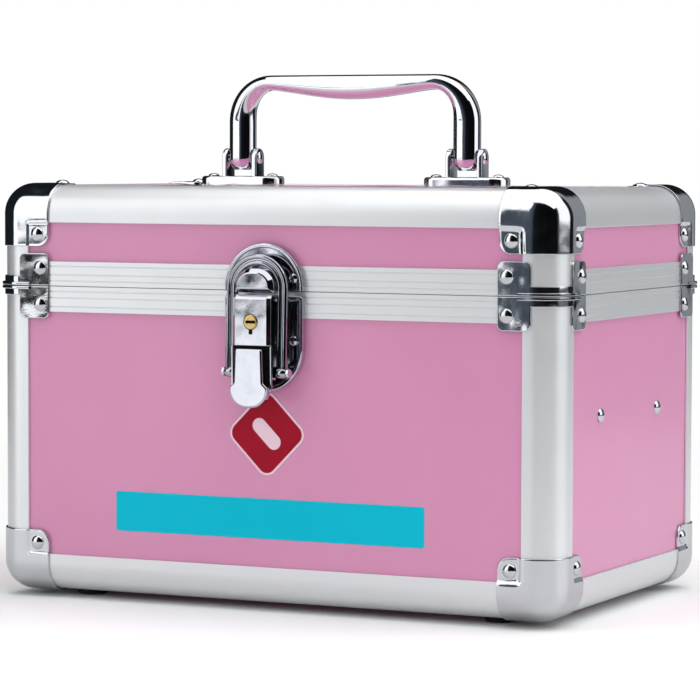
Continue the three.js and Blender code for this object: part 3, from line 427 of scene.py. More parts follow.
# Pressed chrome for the caps: the same mirror over sheet that the press left wavy.
pressed_chrome = plating("pressed_chrome", "#DEE0E4", (0.05, 0.12), 0.00016, 0.000004)


def ease(t):
    """Smooth step from 0 to 1: three t squared less two t cubed."""
    t = np.clip(t, 0, 1)
    return t * t * (3 - 2 * t)


def cap_face(axis, fall):
    """One face of a cap, the corner of the frame at the origin and inwards positive. Grid (a, b)
    runs over a square whose far corner is rounded. Each point is pushed off the rounded edge by
    the sheet, less the step where both coordinates lie on the panel. The last rows roll the edge
    over and run in under the sheet."""
    step_rows = (lobe_start + np.linspace(-0.2, 1.2, 8) * step_width) / cap_reach
    rows = np.unique(np.concatenate([np.linspace(0, 1, 27), step_rows]))
    roll = np.array([0.0, 0.5, 1.0, 1.2])
    share = np.concatenate([rows, np.ones(len(roll))])
    depth = np.concatenate([np.zeros(len(rows)), roll])
    a, b = np.meshgrid(share, share, indexing="ij")
    under = np.maximum(*np.meshgrid(depth, depth, indexing="ij"))
    longest = np.maximum(a, b)
    slope = np.minimum(a, b) / np.maximum(longest, 1e-9)
    k = cap_reach - lobe_radius
    q = 1 + slope ** 2
    p = k * (1 + slope)
    rounded = (p + np.sqrt(np.maximum(p * p - q * (2 * k * k - lobe_radius ** 2), 0))) / q
    reach = np.where(slope * cap_reach > k, np.minimum(rounded, cap_reach), cap_reach)
    reach = cap_reach + (reach - cap_reach) * longest ** 2
    u, v = a * reach, b * reach
    lowered = np.prod([ease((w - lobe_start + step_width / 2) / step_width) for w in (u, v)], 0)
    rolled = np.minimum(under, 1) * np.pi / 2
    drop = cap_edge_roll * (1 - np.cos(rolled))
    drop = np.where(under > 1, cap_sheet + (panel_drop - fall) * lowered, drop)
    shrink = cap_edge_roll * (np.where(under > 0, np.sin(rolled), 0) - 1)
    inset = np.where(longest >= 1, shrink, -cap_edge_roll * longest ** 8)
    u, v = u * (1 + inset / cap_reach), v * (1 + inset / cap_reach)
    point = at(*{"x": (0, u, v), "y": (u, 0, v), "z": (u, v, 0)}[axis])
    pull = np.maximum(edge_radius - point, 0)
    pull /= np.linalg.norm(pull, axis=-1, keepdims=True)
    return np.maximum(point, edge_radius) - pull * (edge_radius + proud - fall * lowered - drop)[..., None]


corners = [(f"{face}_{flank}", flank, x, y, sx, sy) for face, (y, sy) in front_and_back.items()
           for flank, (x, sx) in left_and_right.items()]
cap_faces = {flank: [cap_face(axis, fall) for axis in "xyz"] for flank, fall in lobe_drop.items()}
for half, (body, closed, shut, way) in halves.items():
    for name, flank, x, y, sx, sy in corners:
        corner, signs = np.array([x, y, closed]), np.array([sx, sy, way])
        parts = [skin_of(corner + signs * face, (False, False), corner + signs * cap_reach)
                 for face in cap_faces[flank]]
        for outward in -np.eye(3):
            spot = np.where(outward, rivet_seat, cap_rivet_inset) + outward * (panel_drop - lobe_drop[flank])
            parts.append(rivet(corner + signs * spot, signs * outward, rivet_radius, rivet_height))
        build(f"{half}_{name}_corner_cap", parts, pressed_chrome, body, f"{half}_cap_{name}")

# Rim brackets
# Chromed steel pressed round each post at the shut line: a riveted pad on both faces, a collar
# between them and a turned-out lip along the shut edge.

pad_from, pad_to, pad_height = 11.8, 26.0, 13.5
pad_radius = 2.5
pad_rivet = (21.9, 7.5)
pad_rivet_height = 1.43
collar_reach, collar_proud, collar_height = pad_from + 0.6, proud - 0.03, 3.9
lip_reach, lip_proud, lip_height = 17.0, 1.9, 1.3


def pressed(corners, radii, profile, to_space, closed_ends=(True, True), steps=6):
    """A flat form: the filleted polygon is moved inwards and raised by each (inset, height) of the
    profile, and the rings are skinned. to_space turns (across, up, height) into x, y, z."""
    return skin_of([to_space(*fillet(corners, radii, steps, inset).T, height) for inset, height in profile],
                   closed_ends)


def soft_edge(low, high, radius, steps=4):
    """Profile of a plate from low to high whose upper edge is a quarter round."""
    t = np.linspace(0, np.pi / 2, steps + 1)
    quarter = np.stack([radius * (1 - np.cos(t)), high - radius + radius * np.sin(t)], -1)
    return [(0, low), *quarter, (radius + 0.1, high)]


def band(reach, thickness, height):
    """A strip of sheet carried round the post: straight, a quarter circle of the edge's radius,
    straight. Its section is a rectangle with rounded edges, set outwards from that path."""
    section = fillet([(wrap_gap, 0), (thickness, 0), (thickness, height), (wrap_gap, height)], 0.3, 4)
    t = np.linspace(0, np.pi / 2, 14)
    out = np.concatenate([[(0, -1)], np.stack([-np.sin(t), -np.cos(t)], -1), [(-1, 0)]])
    path = np.concatenate([[(reach, 0)], edge_radius + edge_radius * out[1:-1], [(0, reach)]])
    flat = path[:, None] + out[:, None] * section[None, :, :1]
    return skin_of(at(flat[..., 0], flat[..., 1], section[:, 1]))


def moved(part, signs, corner):
    """A finished skin mirrored by the signs and moved; an odd mirror turns its faces back."""
    points, quads, triangles, grain = part
    order = int(np.prod(signs))
    return points * signs + corner, quads[:, ::order], triangles[:, ::order], grain


# Stamped chrome for the brackets: bent cold, so light falls in clouds, and finely grained. The
# left ones came out smoother.
stamped = {"right": plating("stamped_chrome", "#D6D8DC", (0.07, 0.16), 0.0007, 0.000012),
           "left": plating("smoother_stamped_chrome", "#D6D8DC", (0.04, 0.09), 0.00016, 0.000005)}

pad_outline = box(pad_from, 0, pad_to, pad_height)
bracket = [band(collar_reach, collar_proud, collar_height), band(lip_reach, lip_proud, lip_height)]
for to_face in (lambda a, b, h: at(a, -h, b), lambda a, b, h: at(-h, a, b)):
    bracket.append(pressed(pad_outline, (0.4, 0.4, pad_radius, pad_radius), soft_edge(wrap_gap, proud, 0.35),
                           to_face))
    bracket.append(rivet(to_face(*pad_rivet, proud), to_face(0, 0, 1), rivet_radius, pad_rivet_height))
for half, (body, closed, shut, way) in halves.items():
    for name, flank, x, y, sx, sy in corners:
        parts = [moved(part, (sx, sy, -way), (x, y, shut)) for part in bracket]
        build(f"{half}_{name}_rim_bracket", parts, stamped[flank], body, f"{half}_bracket_{name}")

# Feet
# Moulded rubber studs pressed into the floor panel, one near each corner, matt black with a fine
# texture from the mould.

foot_radius, foot_rounding = 6.2, 0.8
foot_inset = (33.5, 22.5)

# Moulded rubber: nearly black, no gloss, with a grain of about 0.4 mm from the mould.
rubber, tree, shader, place = new_material("moulded_rubber", "#1B1B1D", 0.0, 0.75)
mould = add(tree, "TexNoise", place, Scale=2400.0, Detail=2.0)
feed(shader, Normal=add(tree, "Bump", Height=mould, Strength=0.3, Distance=0.0001))

t = np.linspace(0, np.pi / 2, 6)
tread = np.stack([foot_radius + foot_rounding * (np.sin(t) - 1), foot_rounding * (1 - np.cos(t))], -1)
stud = [(foot_radius / 2, 0), *tread, (foot_radius, bottom + panel_face - seat_gap)]
for name, flank, x, y, sx, sy in corners:
    foot = turned(stud, (x + sx * foot_inset[0], y + sy * foot_inset[1], 0), (0, 0, 1), 40)
    build(f"{name}_rubber_foot", [foot], rubber, "case", f"foot_{name}")

# Handle
# A cast bail, polished and chromed. Its arms turn on a pin between the ears of two chromed mounts
# that are riveted to the lid.

handle_centre = 52.8
arm_foot = 5.2
(_, _, handle_foot), (_, _, grip_top) = measured("handle")
pivot = handle_foot + arm_foot
arm_width, arm_depth = 11.4, 10.0
grip_ends, grip_middle, grip_depth = 6.4, 10.4, 12.5
handle_corner = 20.0
handle_squareness = 0.82


def handle_bail():
    """The section is a squarish ellipse, carried up the arm, round the corner and along the grip.
    Each ring hangs from a point on the outer edge and reaches inwards by the thickness."""
    outer = handle_centre + arm_width / 2
    foot = np.linspace(-arm_foot, 0, 7)
    straight = np.linspace(pivot, grip_top - handle_corner, 8)[1:]
    turn = np.linspace(0, np.pi / 2, 19)[1:]
    run = np.linspace(0, 1, 17)[1:]
    arm = np.zeros(len(foot) + len(straight))
    x = np.concatenate([arm, handle_corner * (1 - np.cos(turn)),
                        handle_corner + (outer - handle_corner) * run]) - outer
    z = np.concatenate([pivot + foot, straight, grip_top - handle_corner * (1 - np.sin(turn)),
                        np.full(len(run), grip_top)])
    angle = np.concatenate([arm, turn, np.full(len(run), np.pi / 2)])
    thick = arm_width + (grip_ends - arm_width) * ease(angle / (np.pi / 2))
    thick[-len(run):] = grip_ends + (grip_middle - grip_ends) * np.sin(run * np.pi / 2) ** 1.3
    deep = arm_depth + (grip_depth - arm_depth) * angle / (np.pi / 2)
    share = np.ones(len(x))
    share[:len(foot)] = np.sqrt(1 - (foot / (arm_foot * 1.25)) ** 2)
    x += thick * (1 - share) / 2
    thick, deep = thick * share, deep * share
    c, s = (np.sign(w) * np.abs(w) ** handle_squareness for w in circle(48))
    inward = thick[:, None] * (1 + c) / 2
    half = at(x[:, None] + np.cos(angle)[:, None] * inward, middle_y + deep[:, None] * s / 2,
                     z[:, None] - np.sin(angle)[:, None] * inward)
    return skin_of(np.concatenate([half, half[-2::-1] * [-1, 1, 1]]))


build("handle_bail", [handle_bail()], chrome, "handle", "handle")

mount_low = measured("handle_mount_left")[0][2]
mount_top = mount_low - seat_gap + 4.8
mount_half = (18.75, 7.0)
mount_radius, mount_edge = 6.0, 1.3
mount_rivet_offset = 14.15
small_rivet = (2.4, 1.2)
ear_inner, ear_thick, ear_radius = 6.05, 2.2, 4.0
pin_radius = 1.6
pin_reach = ear_inner + ear_thick + seat_gap


def both_ways(half):
    """A pin's profile from its right half: the same radii at minus the heights, then the half."""
    return [*((radius, -height) for radius, height in half[::-1]), *half]


ear_edge = [(0.35, 0), (0.1, 0.1), (0, 0.35)]
ear_edge += [(inset, ear_thick - height) for inset, height in ear_edge[::-1]]
ear = box(middle_y - ear_radius, mount_top - 1, middle_y + ear_radius, pivot + ear_radius)
for side, x in (("left", -handle_centre), ("right", handle_centre)):
    a, b = mount_half
    parts = [pressed(box(x - a, middle_y - b, x + a, middle_y + b), mount_radius,
                     soft_edge(mount_low, mount_top, mount_edge, 6), at, steps=10)]
    for start in (x - ear_inner - ear_thick, x + ear_inner):
        parts.append(pressed(ear, (0.1, 0.1, ear_radius, ear_radius), ear_edge,
                             lambda u, v, h: at(start + h, u, v), steps=10))
    for sign in (-1, 1):
        parts.append(rivet((x + sign * mount_rivet_offset, middle_y, mount_top), (0, 0, 1), *small_rivet))
    build(f"{side}_handle_mount_casting", parts, chrome, "lid", f"handle_mount_{side}")
    pin = [turned(both_ways([(pin_radius, pin_reach)]), (x, middle_y, pivot), (1, 0, 0), 28)]
    pin += [rivet((x + sign * pin_reach, middle_y, pivot), (sign, 0, 0), 2.6, 0.9) for sign in (-1, 1)]
    build(f"{side}_handle_pivot_pin", pin, chrome, "lid", f"handle_pin_{side}")

# Latch keeper
# Chromed pressing on the lid: a half-round plate with a raised rim, two rivets, and the hook with
# its bevelled D-shaped face that the loop pulls on.

latch_half = 17.5
arch_foot = 1.8
rim_height, rim_width = 2.7, 1.8
plate_face = 1.2
dome_height = 1.0
latch_rivet = (2.0, 1.1)
latch_rivet_offset = 13.2


def out(s):
    """Outward distance from the front of the frame as a y coordinate."""
    return front - s


def on_front(a, b, h):
    """Across, height above the shut line and outward distance, as x, y, z."""
    return at(a, out(h), split + b)


def rounded_bar(path, normals, section):
    """A section (inset from the path, outward distance) carried along a line on the front."""
    line = path[:, None] - normals[:, None] * section[None, :, :1]
    return skin_of(on_front(line[..., 0], line[..., 1], section[:, 1]))


# Dull chrome for the latch: zinc and steel plated straight from the mould or press, so it gives
# back a tenth less light than the polished pieces, and a little bluer.
dull_chrome = plating("dull_chrome", "#CBCDD4", (0.05, 0.12), 0.00008, 0.000003)

t = np.linspace(0, np.pi, 41)
way_out = np.stack([np.cos(t), np.sin(t)], -1)
arch = latch_half * way_out + [0, arch_foot]
keeper_line = np.concatenate([[(latch_half, 0.3)], arch, [(-latch_half, 0.3)]])
keeper_normal = np.concatenate([[(1, 0)], way_out, [(-1, 0)]])
rim_section = fillet([(0, 0.05), (rim_width, 0.05), (rim_width, rim_height), (0, rim_height)],
                     [0.1, 0.1, 0.5, 0.5], 4)
hook = box(-8.9, -0.3, 8.9, 9.35)
hook_profile = [(0.6, 0.6), (0.6, 9.2), (0.35, 9.5), (0, 9.65), (0, 10.3), (0.12, 10.55), (1.35, 12.0),
                (1.6, 12.2), (1.9, 12.3), (2.05, 12.3)]
# The plate's face is a shallow dome: its height goes with the root of one less the share squared.
strips = latch_half * np.sin(np.linspace(-1.45, 1.45, 25))
rise = np.sqrt(latch_half ** 2 - strips ** 2)
face = [on_front(strips, b, plate_face + dome_height * rise / latch_half)
        for b in (0.3, *(arch_foot + share * rise for share in (0, 0.2, 0.4, 0.6, 0.8, 0.97)))]
parts = [skin_of(face, (False, False), (0, out(-10), split + 8)),
         rounded_bar(keeper_line, keeper_normal, rim_section),
         pressed(hook, (0.6, 0.6, 7.5, 7.5), hook_profile, on_front, steps=14)]
for x in (-latch_rivet_offset, latch_rivet_offset):
    parts.append(rivet(on_front(x, 5.3, plate_face + 0.4), (0, -1, 0), *latch_rivet))
build("latch_keeper_pressing", parts, dull_chrome, "lid", "latch_keeper")

# Latch base
# Chromed pressing on the case: a plate with a raised rim, three rivets, two ears that carry the
# lever's pin, and a lug for the cam of the lock.

base_top, base_centre = -1.7, -23.3
lever_pivot = (9.0, -8.2)
lever_pin = both_ways([(1.25, 8.0), (1.0, 8.2)])
plate = box(-latch_half, base_centre - latch_half, latch_half, base_top)
plate_profile = [(0, 0.05), (0, 2.2), (0.15, 2.55), (0.5, 2.7), (1.3, 2.7), (1.65, 2.55), (1.8, 2.2),
                 (1.85, 1.5), (2.0, 1.25), (2.3, plate_face), (2.5, plate_face), (4, 1.36), (6, 1.52),
                 (9, 1.68), (12.5, 1.76), (16, 1.78)]


def beside(start):
    """For forms cut from sheet that stands out from the front: outward, up, then across from a
    start, as x, y, z."""
    return lambda s, b, w: at(start + w, out(s), split + b)


s, h = lever_pivot
ear = [(0.6, h - 5.2), (0.6, h + 2.6), (s + 2.6, h + 2.6), (s + 2.6, h - 2.6)]
ear_edge = [(0.2, 0), (0, 0.2), (0, 1.0), (0.2, 1.2)]
lug = [(0.6, -9.05), (0.6, -10.25), (5.35, -10.25), (5.35, -13.4), (6.55, -13.4), (6.55, -9.05)]
parts = [pressed(plate, (latch_half, latch_half, 1.6, 1.6), plate_profile, on_front, steps=20),
         *(pressed(ear, (0.3, 0.3, 2.4, 2.4), ear_edge, beside(start)) for start in (-5.9, 4.7)),
         turned(lever_pin, on_front(0, h, s), (1, 0, 0), 24),
         pressed(lug, 0.2, [(0.1, 0), (0, 0.1), (0, 1.4), (0.1, 1.5)], beside(2.9), steps=2)]
for x, z in ((-latch_rivet_offset, -19.8), (latch_rivet_offset, -19.8), (0, -35.6)):
    parts.append(rivet(on_front(x, z, plate_face + 0.3), (0, -1, 0), *latch_rivet))
build("latch_base_pressing", parts, dull_chrome, "case", "latch_base")

# Latch lever
# Chromed channel that turns on the base's pin: the lock housing above, a lower web with a thin
# flange on either side, and the thick finger tab welded in front.

lever_half, lever_sheet = 8.4, 1.2
lever_bevel = 1.3
loop_pivot = (8.5, -32.5)
barrel_height = -12.0


def lever_channel():
    """A U-shaped section carried down the lever. Stations give the height, the face's distance
    and the cheeks' back edge; the section keeps its bevels and its sheet thickness."""
    stations = [
        (-1.2, 12.05, 11.2), (-1.5, 12.4, 8.6), (-2.1, 13.3, 6.1), (-2.5, 13.6, 5.9), (-2.9, 13.7, 5.6),
        (-3.0, 13.7, 5.4), (-4.7, 13.7, 4.2), (-9, 13.7, 3.8), (-16.9, 13.7, 3), (-21.25, 13.7, 3),
        (-21.35, 13.7, 3), (-21.5, 13.6, 3), (-21.6, 13.35, 3), (-21.62, 10.8, 3), (-23.2, 10.8, 3),
        (-23.25, 12.6, 3), (-26.7, 12.6, 3), (-31.0, 12.6, 4.4), (-34.2, 12.6, 5.6), (-34.5, 12.6, 6.2)]
    rings = []
    for height, face, edge in stations:
        w, inner = lever_half, lever_half - lever_sheet
        web = max(face - lever_sheet, 11.85) if height > -3 else face - lever_sheet
        cheek = face - min(lever_bevel, face - edge - 0.4)
        flat = w - lever_bevel
        section = fillet(
            [(-w, edge), (-w, cheek), (-flat, face), (flat, face), (w, cheek), (w, edge), (inner, edge),
             (inner, web), (-inner, web), (-inner, edge)],
            [0.12, 0.3, 0.3, 0.3, 0.3, 0.12, 0.12, 0.1, 0.1, 0.12])
        rings.append(on_front(section[:, 0], height, section[:, 1]))
    return skin_of(rings)


tab = [(-6, -22.8), (6, -22.8), (6.5, -36.4), (8.5, -38.2), (8.5, -46.35), (-8.5, -46.35), (-8.5, -38.2),
       (-6.5, -36.4)]
tab_radii = (0.9, 0.9, 1.2, 0.6, 7.3, 7.3, 0.6, 1.2)
tab_profile = [(0.4, 12.7), (0.1, 12.8), (0, 13.1), (0, 15.3), (0.1, 15.65), (0.35, 15.9), (0.75, 16.0),
               (0.85, 16.0)]
pin_boss = [(2.6, 0), (2.9, 0.25), (2.9, 0.95), (2.6, 1.2)]
barrel_sleeve = [(3.2, 10.6), (4.3, 10.6), (4.3, 12.9), (3.2, 12.9), (3.2, 10.6)]
flange_profile = [(0.1, 12.2), (0, 12.3), (0, 12.8), (0.1, 12.9)]
parts = [lever_channel(), pressed(tab, tab_radii, tab_profile, on_front, steps=10)]
for start in (-lever_half, lever_half - lever_sheet):
    parts.append(turned(pin_boss, on_front(start, loop_pivot[1], loop_pivot[0]), (1, 0, 0), 28))
parts.append(turned(barrel_sleeve, on_front(0, barrel_height, 0), (0, -1, 0), 32, (False, False)))
for inner, outer in ((-9.1, -8.2), (8.2, 9.1)):
    parts.append(pressed(box(inner, -39.9, outer, -21.7), 0.3, flange_profile, on_front, steps=4))
build("latch_lever_channel", parts, dull_chrome, "latch_lever", "latch_lever")

# Key barrel
# A turned brass plug in the lock housing with a slot for the key, a stem behind and a flat cam. Painted shade
# goes with it: near-black sheets where only shade falls, in the ring round the plug, the keyway's notch below
# it, the trench under the housing and the hollow behind the finger tab, and on the floor of the key slot.

barrel_face = 13.95
slot_half = (2.2, 0.55)
slot_depth = 0.12

# Turned brass: warm yellow metal, bright on the face, with turning marks of about 0.1 mm drawn at
# 0.3 mm as rings round the plug.
brass, tree, shader, place = new_material("turned_brass", "#DDBE7C", 1.0, 0.2)
centred = add(tree, "Mapping", place, Location=(0, 0, -(split + barrel_height) / 1000))
rings = add(tree, "TexWave", centred, wave_type="RINGS", rings_direction="Y", Scale=520.0, Distortion=1.0,
            Detail=2.0)
feed(shader, Normal=add(tree, "Bump", Height=rings.outputs["Fac"], Strength=0.2, Distance=0.00003))

# Painted shade: a near-black colour for sheets put where only shade falls, also given to the black card, with
# grime that leaves its faint gloss uneven.
shade_and_card_black, tree, shader, place = new_material("painted_shade_and_black_card", "#070605", 0.0, 0.7, Specular_IOR_Level=0.12)
grime = add(tree, "TexNoise", place, Scale=900.0, Detail=2.0)
feed(shader, Roughness=add(tree, "MapRange", grime, To_Min=0.45, To_Max=0.75))

c, s = circle(64)
slot_reach_round = 1 / np.maximum(np.abs(c) / slot_half[0], np.abs(s) / slot_half[1])
slot_x, slot_z = c * slot_reach_round, s * slot_reach_round
plug = [on_front(slot_x, barrel_height + slot_z, barrel_face - slot_depth),
        on_front(slot_x * 1.03, barrel_height + slot_z * 1.1, barrel_face)]
plug_profile = [(2.3, barrel_face), (2.75, barrel_face), (2.95, barrel_face - 0.1), (3.0, barrel_face - 0.3),
                (3.0, 10.8), (2.1, 10.8), (2.1, 4.4)]
plug += [on_front(c * radius, barrel_height + s * radius, height) for radius, height in plug_profile]
cam = box(-1.4, barrel_height - 4.3, 1.4, barrel_height + 1.4)
cam_profile = [(0.15, 3.8), (0, 3.95), (0, 4.85), (0.15, 5.0)]
parts = [skin_of(plug, (False, True)), pressed(cam, 0.5, cam_profile, on_front)]
build("key_barrel_plug", parts, brass, "key_barrel", "key_barrel")

# Painted shade: near-black sheets in the ring round the plug, the keyway's notch, the trench under the
# housing and the hollow behind the finger tab, where only shade falls.
gap_ring = [(3.0, 13.6), (3.0, 13.73), (3.25, 13.73), (3.25, 13.6), (3.0, 13.6)]
hollow = box(-8.3, -40.3, 8.3, -22.9)
parts = [turned(gap_ring, on_front(0, barrel_height, 0), (0, -1, 0), 48, (False, False)),
         pressed(box(-0.85, -17.0, 0.85, -15.0), 0.2, [(0, 13.6), (0, 13.74)], on_front, steps=3),
         pressed(box(-7.9, -22.75, 7.9, -21.7), 0.1, [(0, 11.5), (0, 12.2)], on_front, steps=2),
         pressed(hollow, (2.5, 2.5, 0.2, 0.2), [(0, 10.8), (0, 12.7)], on_front, steps=4)]
build("keyway_painted_shade", parts, shade_and_card_black, "latch_lever")
# Painted shade: a near-black floor in the key slot, where only shade falls.
pocket = [on_front(slot_x, barrel_height + slot_z, barrel_face - depth) for depth in (0.2, slot_depth)]
build("key_slot_painted_shade", [skin_of(pocket, (True, False))], shade_and_card_black, "key_barrel")

# Loop
# A pressed and chromed ring with a groove along its front. It hangs from the lever's lower end and
# its crown lies behind the head of the keeper's hook.

loop_rise = 33.9
loop_middle, loop_width, loop_thick = 11.45, 4.5, 3.0
loop_ridge = 1.02
crown_standoff = 7.1
lean = np.arctan((loop_pivot[0] - crown_standoff) / (loop_rise + 9.2))


def loop_ring():
    """The grooved section carried up one leg, over the half circle and down the other, upright
    about the pin, then leaned back by the same angle everywhere."""
    w, t, ridge = loop_width / 2, loop_thick / 2, loop_ridge
    arc = np.linspace(-np.pi, 0, 12)
    ridge_arc = np.stack([ridge * np.cos(arc), ridge - t + ridge * np.sin(arc)], -1)
    back_edge = fillet([(w, ridge - t), (w, t), (-w, t), (-w, ridge - t)], [0.02, 0.8, 0.8, 0.02], 4)[5:15]
    section = np.concatenate([ridge_arc - [w - ridge, 0], ridge_arc + [w - ridge, 0], back_edge])
    legs = np.linspace(-1.0, loop_rise, 12)[:-1]
    turn = np.concatenate([np.zeros(len(legs)), np.linspace(0, np.pi, 49), np.full(len(legs), np.pi)])
    foot = np.concatenate([legs, np.full(49, loop_rise), legs[::-1]])
    reach = loop_middle + section[:, 0]
    return skin_of(at(np.cos(turn)[:, None] * reach, section[:, 1],
                             foot[:, None] + np.sin(turn)[:, None] * reach))


def leaned(part):
    """Turns a skin about the loop's pin by the lean and sets it on the lever."""
    points, *rest = part
    x, y, z = points.T
    c, s = np.cos(lean), np.sin(lean)
    return on_front(x, loop_pivot[1] - y * s + z * c, loop_pivot[0] - y * c - z * s), *rest


# Painted shade: a darker copy of the latch's chrome, giving back half of the light, so that the legs read
# dark between their highlights.
shaded_loop_chrome = plating("shaded_loop_chrome", "#B4B6BD", (0.05, 0.12), 0.00008, 0.000003)
loop_eye = [(1.5, 0), (1.75, 0.15), (2.0, 0.6), (2.2, 1.3), (2.25, 2.25), (2.2, 3.2), (2.0, 3.9),
            (1.75, 4.35), (1.5, 4.5)]
parts = [loop_ring(), *(turned(loop_eye, (start, 0, 0), (1, 0, 0), 32) for start in (-13.7, 9.2))]
parts = [leaned(part) for part in parts]
build("latch_loop_ring", parts, shaded_loop_chrome, "latch_loop", "latch_loop")

pin_profile = both_ways([(1.2, 14.05), (1.9, 14.05), (1.9, 14.9), (1.5, 15.2)])
pin = turned(pin_profile, on_front(0, loop_pivot[1], loop_pivot[0]), (1, 0, 0), 28)
build("latch_loop_rivet_pin", [pin], chrome, "latch_lever", "latch_loop_pin")

# Hinges
# Two on the back, each of two chromed leaves pressed from sheet, with three knuckles on a riveted
# pin. Two rivets hold each leaf to its half of the case.

hinge_half, hinge_height = 22.0, 23.0
hinge_third = hinge_half / 3
hinge_y = back + 4.3
hinge_sheet = 1.55
leaf_rivet = (13, 14)
leaf_notch, leaf_edge = 2.6, 0.3
knuckle_radius, knuckle_bore, knuckle_gap = 3.2, 1.5, 0.15
pin_head, pin_shank, pin_play = 2.2, 1.4, 0.05
hinge_centre = sum(measured("hinge_pin_right"))[0] / 2


def hinge_leaf(x, sign, knuckles):
    """A plate with notches where the other leaf's knuckles turn, knuckles of its own, rivets."""
    w, third = hinge_half, hinge_third
    ends, middle = (leaf_notch, leaf_edge)[::sign]
    edge = [(-w, ends), (-third, ends), (-third, middle), (third, middle), (third, ends), (w, ends)]
    outline = [*edge, (w, hinge_height), (-w, hinge_height)]
    parts = [pressed(outline, [0.25] * 6 + [4.0, 4.0], soft_edge(seat_gap, hinge_sheet, 0.2),
                     lambda a, b, h: at(x + a, back + h, split + sign * b))]
    for start, end in knuckles:
        bore, edge, r = knuckle_bore, knuckle_radius - 0.3, knuckle_radius
        profile = [(bore, start), (edge, start), (r, start + 0.3), (r, end - 0.3), (edge, end), (bore, end)]
        parts.append(turned(profile, (x, hinge_y, split), (1, 0, 0), 36))
    for side in (-1, 1):
        spot = (x + side * leaf_rivet[0], back + hinge_sheet, split + sign * leaf_rivet[1])
        parts.append(rivet(spot, (0, 1, 0), *small_rivet))
    return parts


outer_knuckles = [(-hinge_half, -hinge_third - knuckle_gap), (hinge_third + knuckle_gap, hinge_half)]
middle_knuckle = [(-hinge_third + knuckle_gap, hinge_third - knuckle_gap)]
shank_end, head_end = hinge_half + pin_play, hinge_half + 0.85
hinge_pin = both_ways([(pin_shank, shank_end), (pin_head, shank_end), (pin_head, head_end - 0.3),
                       (pin_head - 0.3, head_end)])
for side, x in (("left", -hinge_centre), ("right", hinge_centre)):
    leaves = (("base", "case", -1, outer_knuckles), ("lid", "lid", 1, middle_knuckle))
    for leaf, body, sign, knuckles in leaves:
        build(f"{side}_hinge_{leaf}_plate", hinge_leaf(x, sign, knuckles), chrome, body,
              f"hinge_{leaf}_leaf_{side}")
    build(f"{side}_hinge_rivet_pin", [turned(hinge_pin, (x, hinge_y, split), (1, 0, 0), 28)], chrome, "case",
          f"hinge_pin_{side}")

# Tray
# One white moulding on the rails with two pockets in front and three behind. Walls have a small
# draft from the mould, and every edge is rounded.

(west, south, tray_foot), (east, north, tray_top) = measured("tray")
tray_wall = 2.0
front_share = 0.42
tray_radius, pocket_radius = 7.0, 4.0
rim_round = 0.6

# Moulded polypropylene: white, slightly waxy, with a spark-eroded texture of about 0.3 mm.
plastic, tree, shader, place = new_material(
    "moulded_polypropylene", "#F0F0EC", 0.0, 0.42, IOR=1.49, Subsurface_Weight=0.05,
    Subsurface_Radius=(0.002, 0.002, 0.002))
sparks = add(tree, "TexNoise", place, Scale=3000.0, Detail=1.0)
feed(shader, Normal=add(tree, "Bump", Height=sparks, Strength=0.15, Distance=0.00005))

shell = box(west, south, east, north)
shell_profile = [(1.2, tray_foot), (0.5, tray_foot + 0.1), (0.1, tray_foot + 0.5), (0, tray_foot + 1.2),
                 (0, tray_top - rim_round), (0.15, tray_top - 0.18), (rim_round, tray_top)]
parts = [pressed(shell, tray_radius, shell_profile, at, (True, False), steps=8)]
edges = [fillet(shell, tray_radius, 8, rim_round)]
floor = tray_foot + tray_wall
pocket_profile = [(-0.5, tray_top), (-0.15, tray_top - 0.15), (0, tray_top - 0.5), (0.05, floor + 1.5),
                  (0.45, floor + 0.45), (1.5, floor)]
divide = south + tray_wall + (north - south - 3 * tray_wall) * front_share
for y0, y1, count in ((south + tray_wall, divide, 2), (divide + tray_wall, north - tray_wall, 3)):
    width = (east - west - tray_wall * (count + 1)) / count
    for i in range(count):
        x0 = west + tray_wall + i * (width + tray_wall)
        cup = box(x0, y0, x0 + width, y1)
        # The skin of a pocket faces inwards, so the outward skin is turned over.
        points, quads, triangles, grain = pressed(
            cup, pocket_radius, pocket_profile, at, (False, True), steps=8)
        parts.append((points, quads[:, ::-1], triangles[:, ::-1], grain))
        edges.append(fillet(cup, pocket_radius, 8, pocket_profile[0][0]))
deck = at(*np.concatenate(edges).T, tray_top)
triangles = np.array(tessellate_polygon([[Vector((a, b, 0)) for a, b in edge] for edge in edges]))
a, b, c = (deck[triangles[:, k]] for k in range(3))
downward = np.cross(b - a, c - a)[:, 2] < 0
triangles[downward] = triangles[downward, ::-1]
parts.append((deck, np.zeros((0, 4), int), triangles, deck))
build("tray_moulding", parts, plastic, "tray", "tray")

# Label and badge
# A bare strip of blue vinyl film near the foot of the front panel, and above it a red enamelled
# diamond with a pale border and a plain tablet shape. Both are stuck on.

label_half, label_low, label_high = 70.1, 30.1, 46.5
badge_centre, badge_radius = 73.0, 5.0
badge_reach = 18.984
tablet_radius, tablet_half = 3.1, 4.6


def on_panel(a, z, h):
    """Across, height over the table and distance off the front panel, as x, y, z."""
    return at(a, front + panel_face - h, z)


# Cast vinyl film: even colour, semi-gloss, with the faint ripple of the board below.
vinyl, tree, shader, place = new_material("cast_vinyl_film", "#00B7CE", 0.0, 0.4, Specular_IOR_Level=0.1)
ripple = add(tree, "TexNoise", place, Scale=160.0, Detail=2.0)
feed(shader, Normal=add(tree, "Bump", Height=ripple, Strength=0.12, Distance=0.0002))

strip = box(-label_half, label_low, label_half, label_high)
strip = pressed(strip, 0.8, soft_edge(0.02, 0.14, 0.05, 2), on_panel)
build("front_vinyl_strip", [strip], vinyl, "case")

# Stoving enamel: deep red and glossy, a little uneven where it pooled before firing.
enamel, tree, shader, place = new_material("red_stoving_enamel", "#9A1027", 0.0, 0.35, Specular_IOR_Level=0.1)
pool = add(tree, "TexNoise", place, Scale=110.0, Detail=2.0)
feed(shader, Base_Color=add(tree, "MixRGB", pool, linear("#920C22"), linear("#A3142D")))

